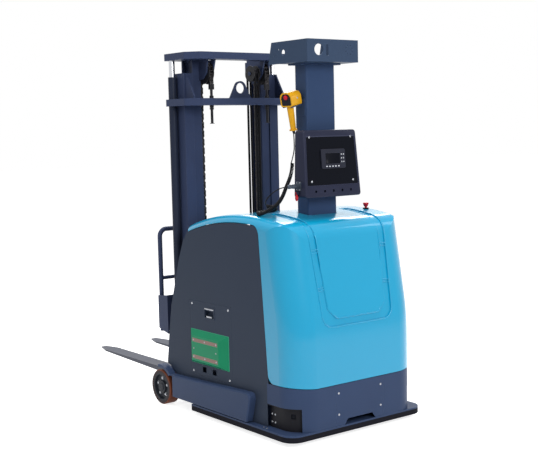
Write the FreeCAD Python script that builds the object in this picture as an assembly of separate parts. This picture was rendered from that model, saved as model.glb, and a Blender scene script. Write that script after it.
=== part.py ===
# Driverless counterbalance stacker: hooded drive chassis, two-stage mast with forks,
# control column with sheet bracket.  Millimetres, +Z up, hood towards -Y, forks towards +Y.
# Lengths along the truck are stations counted from the front edge of the base plate;
# save() moves every piece so that the origin lies under the middle of the footprint.
import FreeCAD
import Part
import math
import os
from FreeCAD import Vector

os.makedirs("parts", exist_ok=True)

# ---- clearances
seam = 1.0              # visible joint between two sheet panels
running = 0.05          # radial play of a shaft in its bore
free = 0.5              # play of a roller in its channel
soft_gap = 0.3          # play of a loose lining

# ---- base plate and body outline
plate_half = 480.0
plate_length = 918.0
plate_thick = 8.0
plate_top = 64.0
plate_corner = 80.0
strip_low = 27.0
strip_thick = 14.0
body_half = 440.0
body_corner = 145.0
corner_ease = 0.1       # the rolled corner leaves the flats at a slight angle
cover_wall = 6.5        # moulded hood and top cover
sheet = 3.0

# ---- hood form
foot_z = 290.0          # lower edge of the hood at the front
foot_side_rise = 13.0   # how much higher it is at the sides
foot_flat_half = 300.0
knee_z = 500.0          # the front leaves the vertical here
knee_radius = 1100.0
lean = math.radians(10.2)
crest_radius = 110.0
crown_radius = 1623.0
crown_station = 478.0
crown_z = 1176.0
top_edge_radius = 60.0
top_end_station = 975.0
top_end_drop = 30.0
hood_split = 411.0      # seam between hood and top cover
rim_drop = 43.0         # side cover ends this far below the crown
side_front_low = 233.0  # front edge of the side cover at the foot
side_front_slope = 0.0757
side_corner = 55.0
flap_corner = 50.0
gasket = 4.0
lap_width = 16.0        # the top cover's lip under the hood

# ---- recessed channel round the hood front
groove_depth = 4.6
groove_low = 600.0
groove_half_low = 241.0
groove_half_top = 270.0
groove_width = 40.0
groove_corner = 62.0
groove_chamfer = 56.0

# ---- skirt, scanner insets, service panel
skirt_end = 246.0
inset_depth = 22.0
inset_high = 190.0
inset_angle = math.radians(54)
panel_half = 170.0
notch_half = 112.0
notch_top_half = 88.0
notch_high = 32.0

# ---- side panel, latch, charging contacts
access_low, access_high = 235.0, 665.0
access_near, access_far = 560.0, 968.0
latch_station, latch_z = 771.0, 604.0
latch_width, latch_height = 98.0, 60.0
charge_near, charge_far = 586.0, 964.0
charge_low, charge_high = 302.0, 498.0
charge_depth = 22.0
charge_bevel_front = 74.0
charge_bevel = 34.0

# ---- wheels
load_wheel_radius = 105.0
load_wheel_width = 75.0
leg_depth = 42.0        # leg cover and wheel stand this far out of the body side
load_wheel_outer = body_half + leg_depth
load_wheel_station = 1248.0
tyre_thick = 20.0
axle_radius = 15.0
leg_plate = 9.0
drive_station = 235.0
drive_radius = 125.0
drive_width = 80.0
turntable_radius = 150.0
deck_z = 300.0
deck_thick = 12.0
post_x = body_half - 88.0   # posts that carry the moulded cover

# ---- leg covers
leg_near, leg_foot, leg_far = 338.0, 380.0, 1118.0
leg_low = 70.0
leg_high_near, leg_high_far = 231.0, 198.0
leg_corner = 30.0
leg_ease = 9.0
leg_wall = 4.0
fender_radius = 137.0   # the arched guard over the load wheel
fender_thick = 17.0
fender_end = math.radians(78)
arch_gap = 8.0          # side cover's cut-out beyond the guard

# ---- mast
mast_station = 1105.0   # rear face of the outer uprights
upright_depth = 130.0
upright_outer = body_half - 96.0
upright_width = 62.0
upright_web = 12.0
upright_flange = 14.0
upright_low = 66.0
upright_high = 1969.0
inner_gap = 4.0         # between the inner and outer uprights
inner_near_gap = 7.0    # inner section's flange behind the outer's
inner_width = 56.0
inner_web = 12.0
inner_web_inset = 21.0  # web's distance from the section's inboard edge
inner_flange = 12.0
inner_low = 90.0
inner_high = 2044.0
low_roller_z, high_roller_z = 150.0, 1890.0
beam_high = 40.0
beam_front = 948.0
beam_corner_half = upright_outer - 19.0
beam_half = upright_outer + 51.0
beam_arm = upright_outer - 139.0
beam_web_back = 1050.0
cross_low, cross_high = 1779.0, 1819.0
cross_front = 955.0
cross_half = upright_outer + 54.0
cross_back = 1060.0
barrel_radius = 24.0
barrel_x = upright_outer + 26.0
barrel_station = 1190.0
barrel_low, barrel_high = 72.0, 1948.0
rod_radius = 17.5
eye_base_half = 78.0
eye_thick = 12.0
eye_station = 1025.0
eye_centre_z = 1880.0
eye_hole = 31.0
eye_outer = 42.0
gusset_thick = 10.0
stroke = 1400.0

# ---- chains and pulleys
chain_x = upright_outer - 140.0
chain_width = 27.0
chain_pitch = 25.4
chain_height = 15.0
sheave_station, sheave_z = 1085.0, 1970.0
sheave_pitch_radius = 56.0
sheave_width = 34.0
sheave_flange = 66.0
hanger_thick = 10.0
hose_x = chain_x - 62.0
hose_pitch_radius = 40.0
hose_radius = 7.0
hose_spacing = 22.0
hose_anchor_z = 1000.0
anchor_rod_radius = 8.0
anchor_rod_low = 1672.0

# ---- carriage and forks
carriage_near = 1262.0
carriage_low, carriage_high = 150.0, 650.0
shank_face = 1322.0
fork_thick = 40.0
fork_width = 100.0
fork_length = 1150.0
fork_top = 130.0
fork_x = upright_outer - 141.0
fork_tip_thick = 8.0
shank_high = 610.0
carriage_chain_z = 480.0
carriage_hose_z = 500.0
cheek_thick = 14.0
cheek_near = 1156.0
roller_width = 18.0
carriage_half = upright_outer - 10.0
roller_low_z, roller_high_z = 260.0, 560.0
guard_x = upright_outer + 41.0
guard_station = 1362.0
guard_tube = 14.0
guard_high = 1043.0
guard_rung = 745.0
guard_low = 420.0
guard_bend = 45.0

# ---- column, bracket, control box
column_half = 100.0
column_near, column_depth = 280.0, 100.0
column_wall = 5.0
column_low, column_high = 712.0, 1972.0
bracket_half = 179.0
bracket_near = 171.0
bracket_low, bracket_high = 1981.0, 2099.0
bracket_far_low, bracket_far_top = 508.0, 478.0
bracket_sheet = 4.0
mount_bolt_x, mount_bolt_y = 240.0, 60.0
box_low, box_high = 1262.0, 1622.0
box_half_low, box_half_top = 198.0, 185.0
box_front_low, box_front_top = 185.0, 213.0
box_corner = 10.0
box_ease = 6.0
window_depth = 4.0

# ---- emergency stop, handset
stop_x, stop_station = body_half - 88.0, 318.0
stop_travel = 6.0
stop_stem = 7.0
handset_turn = 12.0     # degrees about Z
handset_tilt = 11.0     # degrees, button end low
handset_x, handset_station, handset_z = -203.0, 330.0, 1785.0
head_length, head_width, head_height = 84.0, 78.0, 76.0
grip_x = 27.0
grip_radius, grip_length = 16.0, 132.0
relief_length = 20.0
plug_radius, plug_length = 12.0, 62.0
socket_neck = 12.0
toggle_x = -(box_half_low + 10)
toggle_station, toggle_z = 250.0, 1290.0
toggle_pin = 3.0
toggle_width, toggle_play = 9.0, 0.3
socket_station, socket_z = 243.0, 1327.0
cord_radius = 3.0
curl_radius = 11.5
curl_route = [(-168, 330, 1448), (-171, 330, 1412), (-191, 326, 1365), (-219, 320, 1326), (-249, 314, 1276),
              (-285, 308, 1239), (-327, 306, 1215), (-362, 318, 1197), (-378, 350, 1185), (-364, 390, 1187),
              (-330, 411, 1188), (-292, 405, 1189), (-259, 379, 1195), (-268, 352, 1208), (-300, 345, 1219),
              (-333, 352, 1222)]
low_tail_route = [(-298, 246, 1326), (-322, 264, 1316), (-345, 286, 1296), (-358, 314, 1268), (-353, 340, 1241),
                  (-333, 352, 1230.5)]
high_tail_route = [(-145, 338, 1550), (-153, 333, 1500), (-176, 330, 1448)]

overall_length = shank_face + fork_length
axes = {"x": Vector(1, 0, 0), "y": Vector(0, 1, 0), "z": Vector(0, 0, 1)}


# ---- helpers
def spot(axis, level, a, b):
    """Point at a level on one axis; a and b run along the other two."""
    return {"x": Vector(level, a, b), "y": Vector(a, level, b), "z": Vector(a, b, level)}[axis]


def face(points, axis="x", level=0.0):
    """Face from corner points (a, b) or (a, b, corner radius)."""
    flat = [Vector(p[0], p[1], 0) for p in points]
    edges = []
    ends = []
    for i, p in enumerate(points):
        here = flat[i]
        radius = p[2] if len(p) > 2 else 0
        if not radius:
            ends.append((here, here))
            continue
        back = (flat[i - 1] - here).normalize()
        ahead = (flat[(i + 1) % len(flat)] - here).normalize()
        half = math.acos(max(-1, min(1, back.dot(ahead)))) / 2
        run = radius / math.tan(half)
        centre_way = (back + ahead).normalize()
        middle = here + centre_way * (radius / math.sin(half) - radius)
        start, end = here + back * run, here + ahead * run
        ends.append((start, end))
        arc = [spot(axis, level, v.x, v.y) for v in (start, middle, end)]
        edges.append((i, Part.Arc(*arc).toShape()))
    arcs = dict(edges)
    chain = []
    for i in range(len(points)):
        if i in arcs:
            chain.append(arcs[i])
        a, b = ends[i][1], ends[(i + 1) % len(points)][0]
        if a.distanceToPoint(b) > 1e-6:
            chain.append(Part.LineSegment(spot(axis, level, a.x, a.y), spot(axis, level, b.x, b.y)).toShape())
    return Part.Face(Part.Wire(Part.__sortEdges__(chain)))


def prism(points, axis, low, high):
    return face(points, axis, low).extrude(axes[axis] * (high - low))


def block(x0, x1, y0, y1, z0, z1):
    return Part.makeBox(x1 - x0, y1 - y0, z1 - z0, Vector(x0, y0, z0))


def rod(radius, length, x, y, z, axis="x"):
    return Part.makeCylinder(radius, length, Vector(x, y, z), axes[axis])


def ring(outer, inner, length, x, y, z, axis="x"):
    return rod(outer, length, x, y, z, axis).cut(rod(inner, length, x, y, z, axis))


def turned(points, x, y, z, axis="x"):
    """Solid of revolution from (along axis, radius) points."""
    wire = Part.makePolygon([Vector(a, 0, r) for a, r in points + points[:1]])
    solid = Part.Face(wire).revolve(Vector(0, 0, 0), Vector(1, 0, 0), 360)
    if axis == "y":
        solid.rotate(Vector(0, 0, 0), axes["z"], 90)
    if axis == "z":
        solid.rotate(Vector(0, 0, 0), axes["y"], -90)
    solid.translate(Vector(x, y, z))
    return solid


def hexagon(across, height, x, y, z, axis="z"):
    points = [(across / math.sqrt(3) * math.cos(math.radians(60 * k)),
               across / math.sqrt(3) * math.sin(math.radians(60 * k))) for k in range(6)]
    solid = prism(points, axis, 0, height)
    solid.translate(Vector(x, y, z))
    return solid


def fuse(solids):
    whole = solids[0].multiFuse(solids[1:]) if len(solids) > 1 else solids[0]
    return whole.removeSplitter()


def mirrored(solid):
    return solid.mirror(Vector(0, 0, 0), axes["x"])


def both(solid):
    return [solid, mirrored(solid)]


def save(name, solids):
    if not isinstance(solids, list):
        solids = [solids]
    pieces = []
    for solid in solids:
        pieces += solid.Solids
    shape = pieces[0] if len(pieces) == 1 else Part.makeCompound(pieces)
    shape = shape.copy()
    shape.translate(Vector(0, -overall_length / 2, 0))
    shape.exportStep("parts/" + name + ".step")


# ---- base plate with its rubber strip
def base_plate():
    inner = plate_half - strip_thick
    edge = plate_corner
    plate = prism([(-plate_half, 0, edge), (plate_half, 0, edge), (plate_half, plate_length),
                   (-plate_half, plate_length)], "z", plate_top - plate_thick, plate_top)
    plate = plate.cut(rod(turntable_radius - 10, 99, 0, drive_station, 0, "z"))
    for x in (-inner + 60, inner - 60):
        for y in (500, 800):
            plate = plate.cut(rod(6, 99, x, y, 0, "z"))
    strip = prism([(-plate_half, 0, edge), (plate_half, 0, edge), (plate_half, plate_length),
                   (inner, plate_length), (inner, strip_thick, edge - strip_thick),
                   (-inner, strip_thick, edge - strip_thick),
                   (-inner, plate_length), (-plate_half, plate_length)],
                  "z", strip_low, plate_top - plate_thick)
    save("base_plate", plate)
    save("bumper_strip", strip)


# ---- hood form: side profile pushed across, edges rounded, front corners rolled
def crest(inset):
    """Tangent points of the crest arc between the leaning front and the crown."""
    up = Vector(math.sin(lean), math.cos(lean), 0)
    inward = Vector(math.cos(lean), -math.sin(lean), 0)
    knee_end = Vector(knee_radius - knee_radius * math.cos(lean), knee_z + knee_radius * math.sin(lean), 0)
    crown = Vector(crown_station, crown_z - crown_radius, 0)
    start = knee_end + inward * crest_radius
    gap = start - crown
    reach = crown_radius - crest_radius
    b = gap.dot(up)
    along = -b + math.sqrt(b * b - gap.dot(gap) + reach * reach)
    centre = start + up * along
    radius = crest_radius - inset
    low = centre - inward * radius
    high = centre + (centre - crown).normalize() * radius
    middle = centre + ((low - centre) + (high - centre)).normalize() * radius
    return low, middle, high


def crown_height(station):
    reach = station - crown_station
    return crown_z - crown_radius + math.sqrt(crown_radius ** 2 - reach ** 2)


def front_station(z):
    """Station of the hood's front face at a height below the crest."""
    knee_top = knee_z + knee_radius * math.sin(lean)
    if z <= knee_z:
        return 0.0
    if z <= knee_top:
        return knee_radius - math.sqrt(knee_radius ** 2 - (z - knee_z) ** 2)
    return knee_radius * (1 - math.cos(lean)) + (z - knee_top) * math.tan(lean)


def side_profile(inset, low, end):
    """Edges of the form's side view, from the foot over the crown to the end."""
    def knee(angle):
        radius = knee_radius - inset
        return Vector(0, knee_radius - radius * math.cos(angle), knee_z + radius * math.sin(angle))
    c_low, c_middle, c_high = [Vector(0, v.x, v.y) for v in crest(inset)]
    crown = Vector(0, crown_station, crown_z - crown_radius)
    radius = crown_radius - inset

    def top(station):
        return Vector(0, station, crown.z + math.sqrt(radius ** 2 - (station - crown.y) ** 2))
    foot, tip = Vector(0, inset, low), Vector(0, end, low)
    return [Part.LineSegment(foot, knee(0)).toShape(),
            Part.Arc(knee(0), knee(lean / 2), knee(lean)).toShape(),
            Part.LineSegment(knee(lean), c_low).toShape(),
            Part.Arc(c_low, c_middle, c_high).toShape(),
            Part.Arc(c_high, top((c_high.y + end) / 2), top(end)).toShape(),
            Part.LineSegment(top(end), tip).toShape(),
            Part.LineSegment(tip, foot).toShape()]


def corner_tool(inset, low):
    """What lies outside the rolled front corner, swept up the front."""
    reach = body_half - body_corner
    radius = body_corner - inset + corner_ease
    bend = Vector(reach, body_corner, low)
    away = 40.0

    def on_arc(angle):
        return bend + Vector(radius * math.cos(angle), -radius * math.sin(angle), 0)
    rim = [on_arc(0), bend + Vector(radius + away, 0, 0), bend + Vector(radius + away, -radius - away, 0),
           bend + Vector(0, -radius - away, 0), on_arc(math.pi / 2)]
    edges = [Part.LineSegment(a, b).toShape() for a, b in zip(rim, rim[1:])]
    edges.append(Part.Arc(on_arc(math.pi / 2), on_arc(math.pi / 4), on_arc(0)).toShape())
    section = Part.Wire(Part.__sortEdges__(edges))
    knee_end = Vector(0, knee_radius * (1 - math.cos(lean)), knee_z + knee_radius * math.sin(lean))
    knee_middle = Vector(0, knee_radius * (1 - math.cos(lean / 2)), knee_z + knee_radius * math.sin(lean / 2))
    rise = crown_z + 80 - knee_end.z
    last = knee_end + Vector(0, rise * math.tan(lean), rise)
    spine = Part.Wire([Part.LineSegment(Vector(0, 0, low), Vector(0, 0, knee_z)).toShape(),
                       Part.Arc(Vector(0, 0, knee_z), knee_middle, knee_end).toShape(),
                       Part.LineSegment(knee_end, last).toShape()])
    return spine.makePipeShell([section], True, False)


def body_form(inset, low):
    half = body_half - inset
    end = top_end_station - inset
    outline = Part.Face(Part.Wire(Part.__sortEdges__(side_profile(inset, low, end))))
    solid = outline.extrude(Vector(2 * half, 0, 0))
    solid.translate(Vector(-half, 0, 0))
    rims = []
    for edge in solid.Edges:
        box = edge.BoundBox
        flat = box.XLength < 0.01
        if flat and box.ZMax > low + 1 and box.YMin < end - 1:
            rims.append(edge)
    solid = solid.makeFillet(top_edge_radius - inset, rims)
    tool = corner_tool(inset, low - 1)
    return solid.cut(tool).cut(mirrored(tool))


def side_region(margin, low):
    """Side view of the side cover's opening, grown by a margin."""
    def line(z):
        return side_front_low + (z - foot_z) * side_front_slope - margin
    radius = crown_radius - rim_drop + margin
    centre_z = crown_z - crown_radius
    top_z = crown_z - rim_drop + margin
    near_top = centre_z + math.sqrt(radius ** 2 - (line(top_z) - crown_station) ** 2)
    near = Vector(0, line(near_top), near_top)
    far_y = top_end_station + 60
    far = Vector(0, far_y, centre_z + math.sqrt(radius ** 2 - (far_y - crown_station) ** 2))
    middle = Vector(0, crown_station, centre_z + radius)
    corner = side_corner + margin
    up = Vector(0, side_front_slope, 1).normalize()
    along = Vector(0, radius, (crown_station - near.y)).normalize()
    along = Vector(0, (near_top - centre_z) / radius, (crown_station - near.y) / radius)
    half = math.acos((up * -1).dot(along)) / 2
    run = corner / math.tan(half)
    a = near - up * run
    b = near + along * run
    bis = (along - up).normalize()
    m = near + bis * (corner / math.sin(half) - corner)
    start = Vector(0, line(low), low)
    end = Vector(0, far_y, low)
    edges = [Part.LineSegment(start, a).toShape(), Part.Arc(a, m, b).toShape(),
             Part.Arc(b, middle, far).toShape(), Part.LineSegment(far, end).toShape(),
             Part.LineSegment(end, start).toShape()]
    return Part.Face(Part.Wire(edges))


def side_prism(margin, low, inner, outer):
    solid = side_region(margin, low).extrude(Vector(outer - inner, 0, 0))
    solid.translate(Vector(inner, 0, 0))
    return solid


def foot_cut(gap):
    """Everything under the hood's lower edge, which rises towards the sides."""
    far = body_half + 20
    rise = foot_side_rise * (far - foot_flat_half) / (body_half - foot_flat_half)
    return prism([(-far, 0), (far, 0), (far, foot_z + rise + gap), (foot_flat_half, foot_z + gap),
                  (-foot_flat_half, foot_z + gap), (-far, foot_z + rise + gap)], "y", -20, top_end_station + 40)


def groove():
    """U-shaped channel, as what it takes from the hood's skin."""
    skin = body_form(0, foot_z - 20).cut(body_form(groove_depth, foot_z - 30))
    high = crown_z + 20
    half_top = groove_half_top + (high - crown_z) * 0.05
    inner_low = groove_low + groove_width * 0.92
    inner_half = groove_half_low - groove_width
    side_z = groove_low + groove_width + groove_chamfer * 0.9
    outer = prism([(-groove_half_low, groove_low, groove_corner), (groove_half_low, groove_low, groove_corner),
                   (half_top, high), (-half_top, high)], "y", -20, hood_split)
    inner = prism([(-inner_half + groove_chamfer, inner_low), (inner_half - groove_chamfer, inner_low),
                   (inner_half, side_z), (half_top - groove_width, high + 1),
                   (-half_top + groove_width, high + 1), (-inner_half, side_z)], "y", -21, hood_split + 1)
    return skin.common(outer.cut(inner))


def hood_and_top():
    outer = body_form(0, foot_z - 20)
    shell = outer.cut(body_form(cover_wall, foot_z - 30)).cut(foot_cut(0))
    region = side_prism(gasket, foot_z - 60, body_half - 100, body_half + 10)
    shell = shell.cut(region).cut(mirrored(region))
    column_slot = block(-column_half - gasket, column_half + gasket, column_near - gasket,
                        column_near + column_depth + gasket, crown_z - 90, crown_z + 20)
    hood = shell.common(block(-500, 500, -20, hood_split - seam / 2, 0, 1300)).cut(column_slot).cut(groove())
    tip_y = side_front_low + foot_side_rise * side_front_slope - gasket
    tip_z = foot_z + foot_side_rise
    rise = 2 * flap_corner
    kept = prism([(tip_y - 3 * flap_corner, tip_z - 1), (tip_y, tip_z - 1, flap_corner),
                  (tip_y + rise * side_front_slope, tip_z - 1 + rise), (tip_y - 3 * flap_corner, tip_z - 1 + rise)],
                 "x", body_half - 70, body_half + 20)
    nook = block(body_half - 60, body_half + 9, tip_y - flap_corner - 8, tip_y + 9, tip_z - 9, tip_z + flap_corner + 9)
    nook = nook.cut(kept)
    hood = hood.cut(nook).cut(mirrored(nook))
    hood = hood.cut(rod(stop_stem + 2, 200, stop_x, stop_station, crown_z - 120, "z"))
    save("hood", hood)
    top = shell.common(block(-500, 500, hood_split + seam / 2, 1100, 0, 1300))
    rear_low = crown_height(top_end_station) - top_end_drop
    top = top.cut(block(-500, 500, top_end_station - cover_wall - 0.01, 1100, 0, rear_low))
    lap = body_form(cover_wall - 1, foot_z - 30).cut(body_form(cover_wall + sheet, foot_z - 40))
    clear = body_form(cover_wall + soft_gap, foot_z - 35)
    joint = hood_split + seam / 2
    held = lap.common(block(-350, 350, joint, joint + 12, 1000, 1300))
    tongue = lap.common(clear).common(block(-350, 350, joint - lap_width, joint + 6, 1000, 1300))
    lip = fuse([held, tongue]).cut(column_slot)
    back = outer.common(block(-500, 500, top_end_station - cover_wall, 1100, rear_low, 1300))
    save("top_cover", fuse([top, back, lip]))


# ---- side covers
def side_outline():
    """Side cover as a face at x = 0: front edge, crown, mast-side edge, wheel arch."""
    region = side_region(0, foot_z - 60)
    lower = face([(skirt_end + seam, plate_top), (skirt_end + seam, foot_z + foot_side_rise - gasket),
                  (side_front_low + foot_side_rise * side_front_slope, foot_z + foot_side_rise - gasket),
                  (side_front_low + 40 * side_front_slope, foot_z + 40),
                  (700, foot_z + 40), (700, plate_top)], "x", 0)
    back = [(963, crown_height(963) - rim_drop - 2), (1020, 1006), (1077, 878), (1112, 775), (1170, 606),
            (1205, 423), (1232, 250), (1236, 160), (1120, plate_top + 2)]
    return region, lower, back


def side_covers():
    outer = body_half - 2.0
    depth = 2 * sheet
    region, lower, back = side_outline()
    mast_side = prism([(600, plate_top + 2)] + [(600, 1060)] + [(p[0], p[1]) for p in back], "x", outer - sheet, outer)
    blade = region.extrude(Vector(sheet, 0, 0))
    blade.translate(Vector(outer - sheet, 0, 0))
    blade = blade.common(block(outer - sheet, outer, 0, 700, foot_z + foot_side_rise - gasket, 1300))
    top_part = region.extrude(Vector(sheet, 0, 0))
    top_part.translate(Vector(outer - sheet, 0, 0))
    ceiling = top_part.common(block(outer - sheet, outer, 600, 1300, 1000, 1300))
    limit = prism([(600, 1000), (600, 1300), (963, 1300), (963, 1070), (1022, 1000)], "x", outer - 9, outer + 9)
    low_part = lower.extrude(Vector(sheet, 0, 0))
    low_part.translate(Vector(outer - sheet, 0, 0))
    cover = fuse([mast_side, blade, ceiling.common(limit), low_part])
    trim = side_prism(0, 0, outer - 20, outer + 20)
    above = block(outer - 20, outer + 20, 0, 1300, 1000, 1400).cut(trim)
    cover = cover.cut(above)
    arch = rod(fender_radius + arch_gap, 40, outer - 20, load_wheel_station, load_wheel_radius)
    cover = cover.cut(arch)
    flange = block(outer - 22, outer - sheet, skirt_end + 40, plate_length, plate_top, plate_top + sheet)
    cover = fuse([cover, flange])
    right = cover
    left = mirrored(cover)
    opening = block(-outer - 9, -outer + 9, access_near - seam, access_far + seam, access_low - seam, access_high + seam)
    rebate = block(-outer + sheet, -outer + 2 * sheet, access_near - 18, access_far + 18,
                   access_low - 18, access_high + 18)
    window = block(-outer, -outer + 9, access_near + 14, access_far - 14, access_low + 14, access_high - 14)
    left = fuse([left.cut(opening), rebate.cut(window)])
    save("side_covers", [left, right])


def access_panel():
    outer = body_half - 2.0
    x0, x1 = -outer, -outer + sheet
    panel = prism([(access_near, access_low, 8), (access_far, access_low, 8), (access_far, access_high, 8),
                   (access_near, access_high, 8)], "x", x0, x1)
    y0, y1 = latch_station - latch_width / 2, latch_station + latch_width / 2
    z0, z1 = latch_z - latch_height / 2, latch_z + latch_height / 2
    panel = panel.cut(block(x0 - 1, x1 + 1, y0 - seam, y1 + seam, z0 - seam, z1 + seam))
    panel = panel.cut(block(x0 - 1, x1 + 1, charge_near + 20, charge_far - 20, charge_low + 20, charge_high - 20))
    for y in (734, 834):
        panel = panel.cut(block(x0 - 1, x1 + 1, y - 19, y + 19, 256, 288))
    cup = block(x0, x0 + 26, y0, y1, z0, z1).cut(block(x0 - 1, x0 + 23, y0 + 4, y1 - 4, z0 + 4, z1 - 4))
    lip = block(x0 - 2, x0, y0 - 5, y1 + 5, z0 - 5, z1 + 5).cut(block(x0 - 3, x0 + 1, y0 + 4, y1 - 4, z0 + 4, z1 - 4))
    bar_high = block(x0 + 2, x0 + 8, y0 + 4, y1 - 4, z1 - 16, z1 - 8)
    bar_low = block(x0 + 2, x0 + 8, y0 + 16, y1 - 16, z0 + 6, z0 + 14)
    pull = block(x0 + 8, x0 + 23, y0 + 30, y1 - 30, z0 + 4, z0 + 14)
    save("access_panel", [panel, fuse([cup, lip, bar_high, bar_low, pull])])


def charging():
    x0 = -(body_half - 2.0)
    front = x0 - charge_depth
    y_near, y_far = charge_near + charge_bevel_front, charge_far - charge_bevel
    z_low, z_high = charge_low + charge_bevel * 0.55, charge_high - charge_bevel
    base = Part.makePolygon([Vector(x0, charge_near, charge_low), Vector(x0, charge_far, charge_low),
                             Vector(x0, charge_far, charge_high), Vector(x0, charge_near, charge_high),
                             Vector(x0, charge_near, charge_low)])
    lid = Part.makePolygon([Vector(front, y_near, z_low), Vector(front, y_far, z_low),
                            Vector(front, y_far, z_high), Vector(front, y_near, z_high),
                            Vector(front, y_near, z_low)])
    housing = Part.makeLoft([base, lid], True, True)
    tail = block(x0, x0 + 30, charge_near + 22, charge_far - 22, charge_low + 22, charge_high - 22)
    strips = []
    for z in (z_high - 24, z_low + 22):
        slot = block(front - 1, front + 3, y_near + 10, y_far - 10, z - 11, z + 11)
        housing = housing.cut(slot)
        strips.append(block(front - 0.5, front + 3, y_near + 10.5, y_far - 10.5, z - 10.5, z + 10.5))
    save("charging_housing", fuse([housing, tail]))
    save("charging_contacts", strips)


# ---- skirt, service panel, corner scanners
def skirt_ring(outset, low, high, wall):
    """Upright band that follows the body outline, from side to side round the front."""
    def band(inset):
        half = body_half - inset
        radius = body_corner - inset
        return prism([(-half, inset, radius), (half, inset, radius), (half, skirt_end), (-half, skirt_end)],
                     "z", low, high)
    outside = band(outset)
    inside = band(outset + wall)
    inside = inside.fuse(block(-body_half + outset + wall, body_half - outset - wall, body_corner, skirt_end + 9, low, high))
    return outside.cut(inside)


def inset_zone(grow):
    """Plan wedge at the right front corner that the scanner inset takes."""
    centre_x, centre_y = body_half - body_corner, body_corner
    far = 400
    edge_x, edge_y = math.cos(inset_angle), -math.sin(inset_angle)
    return prism([(centre_x, centre_y), (centre_x + far * edge_x, centre_y + far * edge_y),
                  (centre_x + far, centre_y - far), (centre_x + far, skirt_end + 10), (centre_x, skirt_end + 10)],
                 "z", plate_top, inset_high + grow)


def skirt():
    band = skirt_ring(2.0, plate_top, foot_z + foot_side_rise + 40, sheet).cut(foot_hood_gap())
    zone = inset_zone(0)
    band = band.cut(zone).cut(mirrored(zone))
    opening = block(-panel_half - seam, panel_half + seam, -5, 20, plate_top - 1, foot_z + 40)
    ledge = block(-panel_half - 14, panel_half + 14, 2 + sheet, 2 + 2 * sheet, plate_top, foot_z - 12)
    hollow = block(-panel_half + 14, panel_half - 14, 0, 20, plate_top - 1, foot_z + 1)
    save("skirt", fuse([band.cut(opening), ledge.cut(hollow)]))
    panel = prism([(-panel_half, plate_top), (-notch_half, plate_top), (-notch_top_half, plate_top + notch_high),
                   (notch_top_half, plate_top + notch_high), (notch_half, plate_top), (panel_half, plate_top),
                   (panel_half, foot_z - gasket), (-panel_half, foot_z - gasket)], "y", 2.0, 2.0 + sheet)
    save("service_panel", panel)
    wall = skirt_ring(inset_depth, plate_top, inset_high, 2 * sheet).common(zone)
    lid = inset_zone(0).common(skirt_ring(2.0, inset_high - sheet, inset_high, inset_depth + 4))
    lens = rod(11, 40, 0, 0, 0)
    angle = math.radians(33)
    radius = body_corner - inset_depth
    cx, cy = body_half - body_corner, body_corner
    pocket = block(-14, 14, -14, 14, plate_top + 66, plate_top + 94)
    pocket.rotate(Vector(0, 0, 0), axes["z"], math.degrees(-angle))
    pocket.translate(Vector(cx + radius * math.cos(angle), cy - radius * math.sin(angle), 0))
    save("corner_scanners", both(fuse([wall, lid]).cut(pocket)))


def foot_hood_gap():
    """Everything above the skirt's upper edge."""
    far = body_half + 20
    rise = foot_side_rise * (far - foot_flat_half) / (body_half - foot_flat_half)
    low = foot_z - gasket
    return prism([(-far, low + rise), (-foot_flat_half, low), (foot_flat_half, low), (far, low + rise),
                  (far, 1300), (-far, 1300)], "y", -20, 600)


# ---- leg covers and chassis
def leg_covers():
    inner, outer = body_half - 1.7, load_wheel_outer
    shell = prism([(leg_foot, leg_low), (leg_far, leg_low), (leg_far, leg_high_far),
                   (leg_near, leg_high_near, leg_corner)], "x", inner, outer)
    rims = [e for e in shell.Edges if e.BoundBox.XLength < 0.01 and e.BoundBox.XMin > outer - 1
            and e.BoundBox.ZMax > leg_low + 1 and e.BoundBox.YMin < leg_far - 1]
    shell = shell.makeFillet(leg_ease, rims)
    wall = leg_wall
    hollow = prism([(leg_foot + wall, leg_low - 1), (leg_far - wall, leg_low - 1), (leg_far - wall, leg_high_far - wall),
                    (leg_near + wall, leg_high_near - wall, leg_corner - wall)], "x", inner - 1, outer - wall)
    centre_y, centre_z = load_wheel_station, load_wheel_radius
    arch = ring(fender_radius, fender_radius - fender_thick, outer - inner, inner, centre_y, centre_z)
    start = math.pi - math.asin((leg_high_far - centre_z) / fender_radius)
    reach = 3 * fender_radius
    sector = [(centre_y, centre_z)] + [(centre_y + reach * math.cos(a), centre_z + reach * math.sin(a))
                                       for a in (fender_end, (fender_end + start) / 2, start)]
    fender = arch.common(prism(sector, "x", inner - 1, outer + 1))
    root = prism([(leg_far - 30, leg_high_far - wall), (leg_far - 30, leg_high_far + 1),
                  (centre_y + fender_radius * math.cos(start) + 1, leg_high_far),
                  (centre_y + (fender_radius - fender_thick / 2) * math.cos(start), leg_high_far - wall)],
                 "x", inner, outer)
    save("leg_covers", both(fuse([shell.cut(hollow), root, fender])))


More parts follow.
